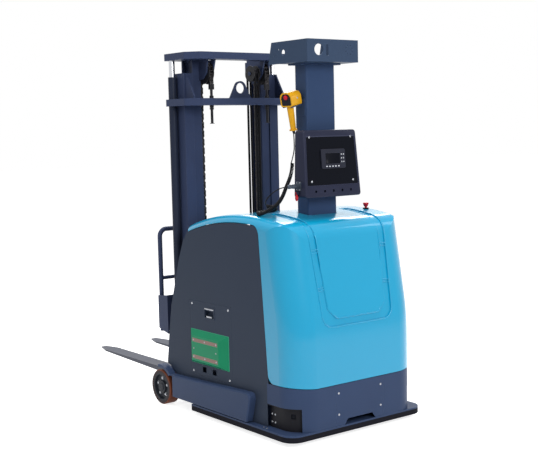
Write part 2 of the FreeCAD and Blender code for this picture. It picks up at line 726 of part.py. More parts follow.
def chassis():
    side_in = barrel_x + barrel_radius + 2.5
    side_out = side_in + leg_plate
    wheel = (load_wheel_station, load_wheel_radius)
    deck_top = deck_z + deck_thick
    cheek = prism([(112, plate_top), (plate_length, plate_top), (1160, 52), (wheel[0] + 45, 52, 30),
                   (wheel[0] + 45, 190, 40), (1120, deck_top, 40), (112, deck_top)], "x", side_in, side_out)
    axle_end = load_wheel_outer - 6
    cheek = fuse([cheek, rod(axle_radius, axle_end - side_in - 2, side_in + 2, *wheel)])
    front = block(-side_in + 20, side_in - 20, 92, 100, plate_top, deck_z)
    deck = block(-side_in, side_in, 92, 424, deck_z, deck_top)
    deck = deck.cut(rod(turntable_radius - 30, 99, 0, drive_station, deck_z - 20, "z"))
    wall = block(-side_in, side_in, 424, 432, plate_top, 640)
    shelf = block(-side_in, side_in, 862, mast_station - 12, deck_z, deck_z + 8)
    back = block(-side_in, side_in, mast_station - 12, mast_station, plate_top + 6, 700)
    inner_wall = block(-side_in, side_in, 862, 870, plate_top, deck_z)
    pedestal = []
    foot = column_low - 12
    for x in (-column_half - 44, column_half + 36):
        pedestal.append(prism([(310, deck_top), (424, deck_top), (424, 640),
                               (column_near + column_depth + 20, foot), (column_near - 22, foot)], "x", x, x + 8))
    top = block(-column_half - 44, column_half + 44, column_near - 22, column_near + column_depth + 20, foot, column_low)
    for x in (-column_half - 22, column_half + 22):
        for y in (column_near + 10, column_near + column_depth - 10):
            top = top.cut(rod(6.5, 40, x, y, foot - 10, "z"))
    posts = []
    for y in (424, 900):
        posts += both(block(post_x, post_x + 12, y, y + 24, deck_z, crown_z))
    under = body_form(cover_wall + soft_gap, deck_z - 60)
    posts = [post.common(under) for post in posts]
    save("chassis_frame", fuse([cheek, mirrored(cheek), front, deck, wall, shelf, back, inner_wall, top]
                               + pedestal + posts))


def load_wheels():
    outer, width, radius = load_wheel_outer, load_wheel_width, load_wheel_radius
    hub_radius = radius - tyre_thick
    y, z = load_wheel_station, radius
    inner = outer - width
    tyre = turned([(0, hub_radius), (0, radius - 6), (6, radius), (width - 6, radius), (width, radius - 6),
                   (width, hub_radius)], inner, y, z)
    hub = turned([(2, axle_radius + running), (2, hub_radius), (width - 1, hub_radius), (width - 1, hub_radius - 10),
                  (width - 16, hub_radius - 14), (width - 16, 40), (width - 5, 36),
                  (width - 5, axle_radius + running)], inner, y, z)
    for k in range(5):
        angle = math.radians(90 + 72 * k)
        bolt = hexagon(13, 6, inner + width - 16, y + 52 * math.cos(angle), z + 52 * math.sin(angle), "x")
        hub = hub.fuse(bolt)
    cap = turned([(width - 5, 0), (width - 5, 24), (width - 1, 22), (width, 16), (width, 0)], inner, y, z)
    save("load_tyre_right", tyre)
    save("load_hub_right", fuse([hub, cap]))
    save("load_tyre_left", mirrored(tyre))
    save("load_hub_left", mirrored(fuse([hub, cap])))


# ---- steered drive unit
def drive():
    x, y, r = 0, drive_station, drive_radius
    tyre = turned([(0, 40), (0, r - 5), (5, r), (drive_width - 5, r), (drive_width, r - 5), (drive_width, 40),
                   (drive_width - 12, 40), (drive_width - 12, 17 + running), (12, 17 + running), (12, 40)],
                  -drive_width / 2, y, r)
    save("drive_wheel", tyre)
    low_plate = rod(turntable_radius - 32, 20, x, y, deck_z - 22, "z")
    seat = deck_z + deck_thick + soft_gap
    rim = ring(turntable_radius, turntable_radius - 60, 10, x, y, seat, "z")
    core = rod(turntable_radius - 36, deck_thick + 8, x, y, deck_z - 4, "z")
    motor = rod(78, 215, x, y, seat + 10, "z")
    cap = rod(70, 14, x, y, seat + 225, "z")
    lid = rod(turntable_radius - 50, 10, x, y, seat, "z")
    fork = []
    for side in (-1, 1):
        near = side * (drive_width / 2 + 3)
        x0, x1 = sorted((near, near + side * 22))
        fork.append(prism([(y - 40, r, 30), (y - 40, deck_z - 10), (y + 40, deck_z - 10), (y + 40, r, 30),
                           (y, r - 42, 30)], "x", x0, x1))
    axle = rod(17, drive_width + 50, -drive_width / 2 - 25, y, r)
    save("drive_unit", fuse([low_plate, rim, core, motor, cap, lid, axle] + fork))


# ---- energy and power
def power():
    case = block(-300, 300, 440, 850, plate_top, 560)
    lid = block(-306, 306, 434.5, 856, 560, 572)
    battery = [case, lid]
    for i in range(6):
        for j in range(4):
            cx, cy = -255 + 102 * i, 487 + 105 * j
            battery.append(block(cx - 44, cx + 44, cy - 46, cy + 46, 572, 590))
            battery.append(rod(14, 12, cx, cy, 590, "z"))
    for x in (-200, 200):
        for y in (446, 838):
            battery.append(block(x - 25, x + 25, y, y + 8, 572, 640).cut(rod(13, 20, x, y - 6, 616, "y")))
    save("battery", fuse(battery))
    shelf = deck_z + 8
    tank = prism([(-330, 900, 12), (-60, 900, 12), (-60, 1060, 12), (-330, 1060, 12)], "z", shelf, shelf + 210)
    pump = fuse([rod(58, 150, -195, 980, shelf + 210, "z"), rod(44, 24, -195, 980, shelf + 360, "z"),
                 block(-120, -80, 950, 1010, shelf + 210, shelf + 260), rod(20, 26, -290, 940, shelf + 210, "z")])
    save("hydraulic_unit", fuse([tank, pump]))


# ---- outer mast
def channel(outer, width, near, depth, web, flange, low, high):
    """Right-hand upright: channel open towards the middle."""
    solid = block(outer - width, outer, near, near + depth, low, high)
    hollow = block(outer - width - 1, outer - web, near + flange, near + depth - flange, low - 1, high + 1)
    return solid.cut(hollow)


def outer_mast():
    upright = channel(upright_outer, upright_width, mast_station, upright_depth, upright_web, upright_flange,
                      upright_low, upright_high)
    pin_inner, groove_play = inner_grooves()
    pin = rod(12, upright_outer - 2 - pin_inner, pin_inner, mast_station + upright_depth / 2, high_roller_z)
    save("outer_uprights", both(fuse([upright, pin])))
    back = mast_station
    body = prism([(-cross_half + 86, cross_front, 10), (cross_half - 86, cross_front, 10),
                  (cross_half, cross_front + 62, 22), (cross_half, barrel_station + 40, 14),
                  (upright_outer + 0.3, barrel_station + 40), (upright_outer + 0.3, back),
                  (upright_outer - upright_width, back), (upright_outer - upright_width - 22, cross_back),
                  (-upright_outer + upright_width + 22, cross_back), (-upright_outer + upright_width, back),
                  (-upright_outer - 0.3, back), (-upright_outer - 0.3, barrel_station + 40),
                  (-cross_half, barrel_station + 40, 14), (-cross_half, cross_front + 62, 22)],
                 "z", cross_low, cross_high)
    notch = hose_spacing + hose_radius + 3
    body = body.cut(block(hose_x - notch, hose_x + notch, sheave_station - hose_pitch_radius - hose_radius - 4,
                          cross_back + 1, cross_low - 1, cross_high + 1))
    for x in (-1, 1):
        body = body.cut(rod(barrel_radius + running, 99, x * barrel_x, barrel_station, cross_low - 20, "z"))
        body = body.cut(rod(anchor_rod_radius + running, 99, x * chain_x, sheave_station - sheave_pitch_radius,
                            cross_low - 20, "z"))
    z = eye_centre_z
    flat = face([(-eye_base_half, cross_high), (eye_base_half, cross_high), (eye_outer * 0.93, z + eye_outer * 0.36),
                 (-eye_outer * 0.93, z + eye_outer * 0.36)], "y", eye_station - eye_thick / 2)
    eye = flat.extrude(Vector(0, eye_thick, 0)).fuse(rod(eye_outer, eye_thick, 0, eye_station - eye_thick / 2, z, "y"))
    eye = eye.cut(rod(eye_hole, 40, 0, eye_station - 20, z, "y"))
    gusset = prism([(back, cross_high), (1018, cross_high), (1018, cross_high + 16), (back - 8, upright_high - 2),
                    (back, upright_high - 2)], "x", upright_outer - 9 - gusset_thick, upright_outer - 9)
    save("mast_crossbeam", fuse([body, eye, gusset, mirrored(gusset)]))
    barrel = ring(barrel_radius, rod_radius + running, barrel_high - barrel_low, barrel_x, barrel_station, barrel_low, "z")
    plug = rod(rod_radius + running, 20, barrel_x, barrel_station, barrel_low, "z")
    foot = block(barrel_x - 24, barrel_x + 24, barrel_station - 24, barrel_station + 24, barrel_low - 14, barrel_low)
    side_in = barrel_x + barrel_radius + 2.5
    save("lift_barrels", both(fuse([barrel, plug, foot, block(upright_outer, side_in, barrel_station - 24,
                                                             barrel_station + 24, barrel_low - 14, barrel_low)])))


# ---- inner mast
def inner_section():
    """Inboard edge, outboard edge, near face and depth of the inner upright."""
    outer = upright_outer - upright_width - inner_gap
    return outer - inner_width, outer, mast_station + inner_near_gap, upright_depth - 2 * inner_near_gap


def inner_grooves():
    """Where the outer roller starts across the truck, and the height of the inner section's groove."""
    inboard, outboard, near, depth = inner_section()
    return inboard + inner_web_inset + inner_web + 2, depth - 2 * inner_flange


def inner_mast():
    inboard, outboard, near, depth = inner_section()
    web = inboard + inner_web_inset
    upright = block(inboard, outboard, near, near + depth, inner_low, inner_high)
    for x0, x1 in ((inboard - 1, web), (web + inner_web, outboard + 1)):
        upright = upright.cut(block(x0, x1, near + inner_flange, near + depth - inner_flange, 0, inner_high + 1))
    y = mast_station + upright_depth / 2
    pin = rod(14, upright_outer - upright_web - 2 - web, web, y, low_roller_z)
    collar = rod(24, outboard + inner_gap + 3 - web, web, y, low_roller_z)
    low_tie = block(-inboard - 1, inboard + 1, near, near + 10, inner_low, inner_low + 90)
    save("inner_uprights", fuse(both(fuse([upright, pin, collar])) + [low_tie]))
    arm_back = near + depth + 8
    top = inner_high
    beam = prism([(-beam_corner_half, beam_front, 6), (beam_corner_half, beam_front, 6),
                  (beam_half, beam_front + beam_half - beam_corner_half, 6), (beam_half, arm_back, 8),
                  (beam_arm, arm_back, 8), (beam_arm, beam_web_back), (-beam_arm, beam_web_back),
                  (-beam_arm, arm_back, 8), (-beam_half, arm_back, 8),
                  (-beam_half, beam_front + beam_half - beam_corner_half, 6)], "z", top, top + beam_high)
    recess = prism([(-beam_corner_half + 30, beam_front + 8), (beam_corner_half - 30, beam_front + 8),
                    (beam_corner_half - 30, beam_web_back - 8), (-beam_corner_half + 30, beam_web_back - 8)],
                   "z", top + 8, top + beam_high + 1)
    save("inner_top_beam", beam.cut(recess))
    piston = rod(rod_radius, top - barrel_low - 25, barrel_x, barrel_station, barrel_low + 25, "z")
    save("cylinder_rods", both(piston))
    plate_x = chain_x - sheave_width / 2 - 1 - hanger_thick
    hanger = prism([(sheave_station - 70, top), (sheave_station - 46, sheave_z - 3), (sheave_station + 8, 1914),
                    (sheave_station + 65, 1911), (sheave_station + 123, 1958), (sheave_station + 123, top)],
                   "x", plate_x, plate_x + hanger_thick)
    outer_x = chain_x + sheave_width / 2 + 1
    outer_plate = prism([(sheave_station - 60, top), (sheave_station - 46, sheave_z - 3), (sheave_station - 6, 1932),
                         (near - 0.5, 1932), (near - 0.5, top)], "x", outer_x, outer_x + hanger_thick)
    pin = rod(12, outer_x - plate_x, plate_x + 1, sheave_station, sheave_z)
    right = fuse([hanger, outer_plate, pin])
    left = mirrored(right)
    hose_pin = rod(8, plate_x + 1 - (hose_x - hose_spacing - 6), hose_x - hose_spacing - 6, sheave_station, sheave_z)
    end = rod(12, 4, hose_x - hose_spacing - 6, sheave_station, sheave_z)
    save("sheave_hangers", [fuse([right, hose_pin, end]), left])


def pulleys():
    w = sheave_width
    groove_r = sheave_pitch_radius - chain_height / 2
    wheel = turned([(0, 12 + running), (0, sheave_flange), (3, sheave_flange), (3.2, groove_r), (w - 3.2, groove_r),
                    (w - 3, sheave_flange), (w, sheave_flange), (w, 12 + running)], chain_x - w / 2, sheave_station, sheave_z)
    w = 2 * hose_spacing
    rim = hose_pitch_radius + 8
    floor = hose_pitch_radius - hose_radius - soft_gap
    points = [(0, 8 + running), (0, rim), (3, rim), (3.5, floor), (w - 3.5, floor), (w - 3, rim), (w, rim), (w, 8 + running)]
    hose_wheel = turned(points, hose_x - w / 2, sheave_station, sheave_z)
    save("chain_sheaves", both(wheel) + [hose_wheel])


# ---- lift chains
def strand(x, y, low, high, phase):
    """Upright leaf chain: scalloped plates, two layers half a pitch apart."""
    half = chain_height / 2
    waist = half * 0.72
    layers = [(-chain_width / 2, -chain_width / 2 + 5, 0), (-chain_width / 2 + 5, chain_width / 2 - 5, 1),
              (chain_width / 2 - 5, chain_width / 2, 0)]
    count = max(2, int(round((high - low) / chain_pitch)))
    step = (high - low) / count
    solids = []
    for x0, x1, odd in layers:
        near, far = [], []
        for k in range(2 * count + 1):
            z = low + step * k / 2
            wide = half if (k + odd + phase) % 2 == 0 else waist
            near.append((y - wide, z))
            far.append((y + wide, z))
        solids.append(prism(near + far[::-1], "x", x + x0, x + x1))
    return fuse(solids)


def chains():
    r = sheave_pitch_radius
    y, z = sheave_station, sheave_z
    half = chain_height / 2
    wrap = ring(r + half, r - half + soft_gap, chain_width, chain_x - chain_width / 2, y, z)
    wrap = wrap.cut(block(0, 400, y - 99, y + 99, z - 99, z))
    save("chain_wraps", both(wrap))
    save("carriage_chains", both(strand(chain_x, y + r, carriage_chain_z, z, 0)))
    clevis_top = 1905
    save("anchor_chains", both(strand(chain_x, y - r, clevis_top, z, 0)))
    a = anchor_rod_radius
    station = y - r
    stem = rod(a, clevis_top - 30 - anchor_rod_low, chain_x, station, anchor_rod_low, "z")
    clevis = block(chain_x - 15, chain_x + 15, station - 8, station + 8, clevis_top - 34, clevis_top)
    foot = rod(14, 3, chain_x, station, anchor_rod_low, "z")
    nut = hexagon(24, 13, chain_x, station, cross_low - 13, "z")
    lock = hexagon(24, 9, chain_x, station, cross_low - 24, "z")
    washer = rod(16, 3, chain_x, station, cross_high, "z")
    nut_top = hexagon(24, 13, chain_x, station, cross_high + 3, "z")
    save("chain_anchors", both(fuse([stem, clevis, foot, nut, lock, washer, nut_top])))


def hoses():
    r, y, z = hose_pitch_radius, sheave_station, sheave_z
    wraps, fronts, backs = [], [], []
    for x in (hose_x - hose_spacing / 2, hose_x + hose_spacing / 2):
        sides = [math.radians(30 * k) for k in range(12)]
        rim = [Vector(x + hose_radius * math.cos(a), y + r + hose_radius * math.sin(a), z) for a in sides]
        arc = Part.Face(Part.makePolygon(rim + rim[:1])).revolve(Vector(x, y, z), axes["x"], 180)
        wraps.append(arc)
        fronts.append(rod(hose_radius, z - carriage_hose_z, x, y + r, carriage_hose_z, "z"))
        backs.append(rod(hose_radius, z - hose_anchor_z, x, y - r, hose_anchor_z, "z"))
    save("hose_wraps", wraps)
    save("carriage_hoses", fronts)
    save("mast_hoses", backs)


# ---- carriage, forks, load guard
def carriage():
    y0, y1 = carriage_near, shank_face - fork_thick
    inboard = inner_section()[0]
    half = carriage_half
    bars = [block(-half, half, y0 + 2, y1, z, z + 70) for z in (carriage_low + 30, carriage_high - 90)]
    cheek_outer = inboard - 8
    cheeks = []
    for x in (-1, 1):
        x0, x1 = sorted((x * cheek_outer, x * (cheek_outer - cheek_thick)))
        cheeks.append(block(x0, x1, cheek_near, y1, carriage_low + 10, carriage_high - 15))
        for z in (roller_low_z, roller_high_z):
            a, b = sorted((x * (cheek_outer - 1), x * (inboard + inner_web_inset - 1)))
            cheeks.append(rod(11, b - a, a, mast_station + upright_depth / 2, z))
    mid = block(-60, 60, y0 + 2, y1, carriage_low + 30, carriage_high - 20)
    tabs = [block(x * chain_x - 15, x * chain_x + 15, sheave_station + sheave_pitch_radius - 12, y0 + 4,
                  carriage_chain_z - 30, carriage_chain_z) for x in (-1, 1)]
    lug_z = carriage_hose_z
    lug = block(hose_x - 24, hose_x + 24, sheave_station + hose_pitch_radius - 12, y0 + 4, lug_z - 30, lug_z)
    wings = []
    for x in (-1, 1):
        a, b = sorted((x * (half - 8), x * (guard_x + guard_tube + 2)))
        wings.append(block(a, b, y0 + 2, y0 + 12, carriage_low + 30 + 255, carriage_high))
        a, b = sorted((x * (guard_x + guard_tube), x * (guard_x + guard_tube + 8)))
        wings.append(prism([(y0 + 2, 415), (guard_station + 6, 440), (guard_station + 6, 640), (y0 + 2, 650)], "x", a, b))
    riser = [block(x * 100 - 30, x * 100 + 30, y0 + 2, y1, carriage_low + 30, carriage_high - 20) for x in (-1, 1)]
    link = block(-half, half, y0 + 2, y0 + 12, carriage_high - 90, carriage_high - 20)
    save("carriage_frame", fuse(bars + cheeks + [mid, lug, link] + tabs + wings + riser))
    for name, x in (("left", -fork_x), ("right", fork_x)):
        half = fork_width / 2
        blade = prism([(y1, fork_top - fork_thick), (shank_face + fork_length - 4, fork_top - fork_tip_thick),
                       (shank_face + fork_length, fork_top - 3), (shank_face + fork_length - 6, fork_top),
                       (shank_face, fork_top, 12), (shank_face, shank_high, 6), (y1, shank_high, 6)],
                      "x", x - half, x + half)
        corner = prism([(x - half, y1 - 1), (x + half, y1 - 1), (x + half, shank_face + fork_length - 120, 90),
                        (x + 18, shank_face + fork_length, 14), (x - 18, shank_face + fork_length, 14),
                        (x - half, shank_face + fork_length - 120, 90)], "z", 0, 900)
        save("fork_" + name, blade.common(corner))


def load_guard():
    r = guard_tube
    bend = guard_bend
    x, y = guard_x, guard_station
    path = [Vector(-x, y, guard_low), Vector(-x, y, guard_high - bend), Vector(-x + bend, y, guard_high),
            Vector(x - bend, y, guard_high), Vector(x, y, guard_high - bend), Vector(x, y, guard_low)]
    k = bend * (1 - math.sqrt(0.5))
    spine = Part.Wire([Part.LineSegment(path[0], path[1]).toShape(),
                       Part.Arc(path[1], Vector(-x + k, y, guard_high - k), path[2]).toShape(),
                       Part.LineSegment(path[2], path[3]).toShape(),
                       Part.Arc(path[3], Vector(x - k, y, guard_high - k), path[4]).toShape(),
                       Part.LineSegment(path[4], path[5]).toShape()])
    circle = Part.Wire(Part.makeCircle(r, path[0], axes["z"]))
    hoop = spine.makePipeShell([circle], True, False)
    rungs = [rod(r * 0.8, 2 * x, -x, y, guard_rung)]
    bars = [rod(r * 0.7, guard_high - guard_rung, sx, y, guard_rung, "z") for sx in (-190, 0, 190)]
    low_bar = rod(r * 0.8, 2 * x, -x, y, guard_low + 130)
    save("load_guard", fuse([hoop, low_bar] + rungs + bars))


def rollers():
    y = mast_station + upright_depth / 2
    inboard = inner_section()[0]
    roller_start, groove_height = inner_grooves()

    def pair(radius, width, start, z, bore):
        wheel = turned([(0, bore), (0, radius - 3), (3, radius), (width - 3, radius), (width, radius - 3),
                        (width, bore)], start, y, z)
        return both(wheel)
    small = groove_height / 2 - free
    start = inboard + 1
    save("carriage_rollers_low", pair(small, roller_width, start, roller_low_z, 11 + running))
    save("carriage_rollers_high", pair(small, roller_width, start, roller_high_z, 11 + running))
    save("upper_rollers", pair(small, 20, roller_start, high_roller_z, 12 + running))
    big = upright_depth / 2 - upright_flange - free
    width = upright_width - upright_web - 10
    save("mast_rollers", pair(big, width, upright_outer - upright_width + 5, low_roller_z, 14 + running))


# ---- column, bracket, control box
def column(carried):
    x, y0, y1 = column_half, column_near, column_near + column_depth
    tube = prism([(-x, y0, 9), (x, y0, 9), (x, y1, 9), (-x, y1, 9)], "z", column_low + 12, column_high)
    t = column_wall
    hollow = prism([(-x + t, y0 + t, 5), (x - t, y0 + t, 5), (x - t, y1 - t, 5), (-x + t, y1 - t, 5)],
                   "z", column_low, column_high + 1)
    foot = block(-x - 44, x + 44, y0 - 22, y1 + 20, column_low, column_low + 12)
    for bx in (-x - 22, x + 22):
        for by in (y0 + 10, y1 - 10):
            foot = foot.cut(rod(6.5, 40, bx, by, column_low - 10, "z"))
    head = prism([(-x - 30, y0 - 22, 8), (x + 30, y0 - 22, 8), (x + 30, y1 + 22, 8), (-x - 30, y1 + 22, 8)],
                 "z", column_high, bracket_low)
    middle = (y0 + y1) / 2
    holes = [rod(5.5, 60, sx * mount_bolt_x / 2, middle + sy * mount_bolt_y / 2, column_high - 20, "z")
             for sx in (-1, 1) for sy in (-1, 1)]
    for hole in holes:
        head = head.cut(hole)
    save("column", [fuse([tube.cut(hollow), foot, head])] + carried)


def top_bracket():
    x, t = bracket_half, bracket_sheet
    low, high, near = bracket_low, bracket_high, bracket_near
    front = block(-x, x, near, near + t, low, high)
    cheek = prism([(near, low), (bracket_far_low, low), (bracket_far_low - 8, low + 34), (bracket_far_top, high),
                   (near, high)], "x", x - t, x)
    floor = block(-x, x, near, 420, low, low + t)
    shell = fuse([front, cheek, mirrored(cheek), floor])
    rims = [e for e in shell.Edges if e.BoundBox.ZLength > high - low - 1 and e.BoundBox.YMax < near + 1
            and abs(abs(e.CenterOfMass.x) - x) < 0.5]
    shell = shell.makeFillet(6, rims)
    cuts = [rod(30, 40, -101, near - 10, 2044, "y")]
    cuts.append(prism([(-52, 2012, 8), (-34, 2012, 8), (-34, 2072, 8), (-52, 2072, 8)], "y", near - 10, near + 20))
    for k in range(8):
        angle = math.radians(45 * k + 20)
        cuts.append(rod(3, 40, 111 + 24 * math.cos(angle), near - 10, 2046 + 24 * math.sin(angle), "y"))
    cuts.append(rod(15, 40, -x - 20, 376, 2040))
    cuts.append(rod(4, 40, -x - 20, 416, 2057))
    cuts.append(rod(4, 40, -x - 20, 452, 2026))
    cuts.append(rod(15, 40, x - 20, 376, 2040))
    middle = column_near + column_depth / 2
    for sx in (-1, 1):
        for sy in (-1, 1):
            cuts.append(rod(5.5, 60, sx * mount_bolt_x / 2, middle + sy * mount_bolt_y / 2, low - 20, "z"))
    for cut in cuts:
        shell = shell.cut(cut)
    save("top_bracket", shell)


def box_form():
    """Control box body between its wide foot and narrower head; the front leans."""
    side_view = prism([(box_front_low, box_low), (column_near, box_low), (column_near, box_high),
                       (box_front_top, box_high)], "x", -box_half_low, box_half_low)
    front_view = prism([(-box_half_low, box_low), (box_half_low, box_low), (box_half_top, box_high),
                        (-box_half_top, box_high)], "y", 0, column_near + 1)
    return side_view.common(front_view)


def box_side(z):
    """Where the left side of the control box stands at a height."""
    return -(box_half_low - (z - box_low) / (box_high - box_low) * (box_half_low - box_half_top))


def control_box():
    back = column_near
    body = box_form()
    corners = [e for e in body.Edges if e.BoundBox.ZLength > box_high - box_low - 1 and e.BoundBox.YMax < back - 1]
    body = body.makeFillet(box_corner, corners)
    rims = [e for e in body.Edges if (e.BoundBox.ZMin > box_high - 1 or e.BoundBox.ZMax < box_low + 1)
            and e.BoundBox.YMin < back - 1]
    body = body.makeFillet(box_ease, rims)
    slope = (box_front_top - box_front_low) / (box_high - box_low)
    window_low = box_low + 66

    def on_front(z):
        return box_front_low + (z - box_low) * slope
    margin = 17
    window_high = box_high - 22

    def pane(near, far, grow):
        half_low, half_top = box_half_low - margin - grow - 2, box_half_top - margin - grow
        z0, z1 = window_low + grow, window_high - grow
        leaf = prism([(on_front(z0) + near, z0), (on_front(z0) + far, z0), (on_front(z1) + far, z1),
                      (on_front(z1) + near, z1)], "x", -half_low, half_low)
        return leaf.common(prism([(-half_low, z0), (half_low, z0), (half_top, z1), (-half_top, z1)], "y", 0, back + 1))
    body = body.cut(pane(-20, window_depth, 0))
    for k in range(5):
        z = box_low + 33
        body = body.cut(rod(8, 12, -124 + 62 * k, on_front(z) - 6, z, "y"))
    for x in (-60, 60):
        for z in (box_low + 120, box_high - 80):
            body = body.cut(rod(4.2, 12, x, back - 12, z, "y"))
    side = box_side(toggle_z)
    ears = []
    for y in (toggle_station - toggle_width / 2 - 4, toggle_station + toggle_width / 2):
        ear = prism([(side + 2, toggle_z - 7), (side + 2, toggle_z + 7), (toggle_x - 6, toggle_z + 7, 5),
                     (toggle_x - 6, toggle_z - 7, 5)], "y", y, y + 4)
        ears.append(ear)
    pin = rod(toggle_pin, toggle_width + 8, toggle_x, toggle_station - toggle_width / 2 - 4, toggle_z, "y")
    save("control_box", fuse([body, pin] + ears))
    glass = pane(window_depth - 2.5, window_depth, 0.4)
    z = 1467
    hold = block(-76, 94, on_front(z) - 12, on_front(z) + 30, z - 53, z + 53)
    glass = glass.cut(hold)
    save("control_panel", glass)
    tilt = math.degrees(math.atan(slope))
    unit = prism([(-75, z - 52, 8), (93, z - 52, 8), (93, z + 52, 8), (-75, z + 52, 8)], "y", 0, 9)
    screen = block(-46, 56, -1, 1.5, z - 27, z + 30)
    unit = unit.cut(screen)
    keys = []
    for k in range(5):
        keys.append(block(-42 + 21 * k - 6, -42 + 21 * k + 6, -1.2, 0, z - 44, z - 37))
    for k in range(3):
        for side in (66, 80):
            keys.append(rod(4, 1.2, side, -1.2, z + 22 - 20 * k, "y"))
    unit = fuse([unit] + keys)
    unit.rotate(Vector(0, 0, z), axes["x"], -tilt)
    unit.translate(Vector(0, on_front(z) + window_depth - 9.2, 0))
    save("display_unit", unit)
    z = socket_z
    x = box_side(z)
    y = socket_station
    flange = block(x - 5, x + 4, y - 19, y + 19, z - 24, z + 24).cut(box_form())
    neck = rod(plug_radius + 2, socket_neck, x - 4 - socket_neck, y, z)
    shell = turned([(0, 0), (0, plug_radius), (-26, plug_radius), (-28, plug_radius - 1.5), (-44, plug_radius - 1.5),
                    (-46, plug_radius), (-plug_length + 8, plug_radius), (-plug_length, 6), (-plug_length, 0)],
                   x - 4 - socket_neck, y, z)
    save("panel_socket", [fuse([flange, neck]), shell])
    low_tail(x - 4 - socket_neck - plug_length)


def panel_switch():
    width = toggle_width - 2 * toggle_play
    x, y, z = toggle_x, toggle_station, toggle_z
    eye = rod(toggle_pin + 3.2, width, x, y - width / 2, z, "y")
    boot = turned([(0, 0), (0, 3.5), (-9, 4), (-18, 8), (-26, 9), (-34, 7.5), (-41, 4), (-43, 0)], x, y, z, "z")
    lever = fuse([eye, boot]).cut(rod(toggle_pin + running, 40, x, y - 20, z, "y"))
    save("switch_lever", lever)


# ---- emergency stop
def emergency_stop():
    z = crown_height(stop_station)
    collar = ring(17, stop_stem + running, 12, stop_x, stop_station, z - 5, "z")
    collar = collar.cut(rod(crown_radius, 60, stop_x - 30, crown_station, crown_z - crown_radius))
    save("stop_collar", collar)
    neck = 12 + stop_travel
    button = turned([(0, 0), (0, stop_stem), (neck, stop_stem), (neck + 2, 11), (neck + 18, 17), (neck + 22, 15.5),
                     (neck + 23, 10), (neck + 23, 0)], stop_x, stop_station, z - 5, "z")
    save("stop_button", button)


# ---- handset, holder and cord
def place_handset(solid):
    solid = solid.copy()
    solid.rotate(Vector(0, 0, 0), axes["y"], -handset_tilt)
    solid.rotate(Vector(0, 0, 0), axes["z"], handset_turn)
    solid.translate(Vector(handset_x, handset_station, handset_z))
    return solid


def handset():
    h, w, l = head_height / 2, head_width / 2, head_length
    head = prism([(-w, -h, 12), (w, -h, 12), (w, h, 30), (-w, h, 30)], "x", 0, l)
    rim = prism([(-w + 7, -h + 6, 8), (w - 7, -h + 6, 8), (w - 7, h - 7, 26), (-w + 7, h - 7, 26)], "x", -1, 5)
    head = head.cut(rim).cut(rod(13, 26, -1, 0, 12))
    grip = Part.makeCone(grip_radius + 3, grip_radius - 1, grip_length, Vector(grip_x, 0, -h + 2), Vector(0, 0, -1))
    collar = rod(grip_radius + 6, 7, grip_x, 0, -h - grip_length, "z")
    guard = fuse([block(grip_x - 6, grip_x + 6, -5, 5, -h - 8, -h + 2)])
    save("handset_body", place_handset(fuse([head, grip, collar, guard])))
    plate = prism([(-w + 7.3, -h + 6.3, 8), (w - 7.3, -h + 6.3, 8), (w - 7.3, h - 7.3, 26), (-w + 7.3, h - 7.3, 26)],
                  "x", 1.5, 5).cut(rod(13, 26, -1, 0, 12))
    relief = Part.makeCone(9, 5, relief_length, Vector(grip_x, 0, -h - grip_length), Vector(0, 0, -1))
    save("handset_face", [place_handset(plate), place_handset(relief)])
    button = turned([(-7, 0), (-7, 8), (-4, 12), (18, 12), (18, 0)], 0, 0, 12)
    save("handset_button", place_handset(button))
    x = -column_half
    reach = grip_radius + 6
    floor = -h - soft_gap
    fork = block(4, l + 40, -w + 6, w - 6, floor - 5, floor).cut(block(0, grip_x + 42, -reach, reach, -h - 9, -h + 9))
    fork = place_handset(fork).cut(block(x - 4, x + 200, 0, 600, 1500, 2000))
    back = block(x - 4, x, 292, 370, 1702, 1790)
    column([fuse([fork, back])])
    tip = place_handset(Part.Vertex(grip_x, 0, -h - grip_length - relief_length)).Point
    save("upper_cord_tail", cord([(tip.x, tip.y, tip.z - 0.8)] + high_tail_route, cord_radius, "upper tail"))
    save("curly_cord", cord(curl_route, curl_radius, "curly"))


def cord(points, radius, name):
    """Tube along straight runs joined by tangent arcs; prints its bend radii and volume."""
    nodes = [Vector(*p) for p in points]
    edges = []
    bends = []
    here = nodes[0]
    for before, corner, after in zip(nodes, nodes[1:], nodes[2:]):
        back = (before - corner)
        ahead = (after - corner)
        run = 0.45 * min(back.Length, ahead.Length)
        back.normalize()
        ahead.normalize()
        half_turn = (math.pi - back.getAngle(ahead)) / 2
        bend = run / math.tan(half_turn)
        bends.append(round(bend))
        inside = (back + ahead).normalize()
        middle = corner + inside * (bend / math.cos(half_turn) - bend)
        start, end = corner + back * run, corner + ahead * run
        edges.append(Part.LineSegment(here, start).toShape())
        edges.append(Part.Arc(start, middle, end).toShape())
        here = end
    edges.append(Part.LineSegment(here, nodes[-1]).toShape())
    path = Part.Wire(edges)
    section = Part.Wire(Part.makeCircle(radius, nodes[0], nodes[1] - nodes[0]))
    tube = path.makePipeShell([section], True, False)
    print(name, "radii", bends, "length", round(path.Length), "volume ratio",
          round(tube.Volume / (math.pi * radius ** 2 * path.Length), 4))
    return tube


def low_tail(plug_end):
    route = [(plug_end, socket_station, socket_z)] + low_tail_route
    save("lower_cord_tail", cord(route, cord_radius, "lower tail"))


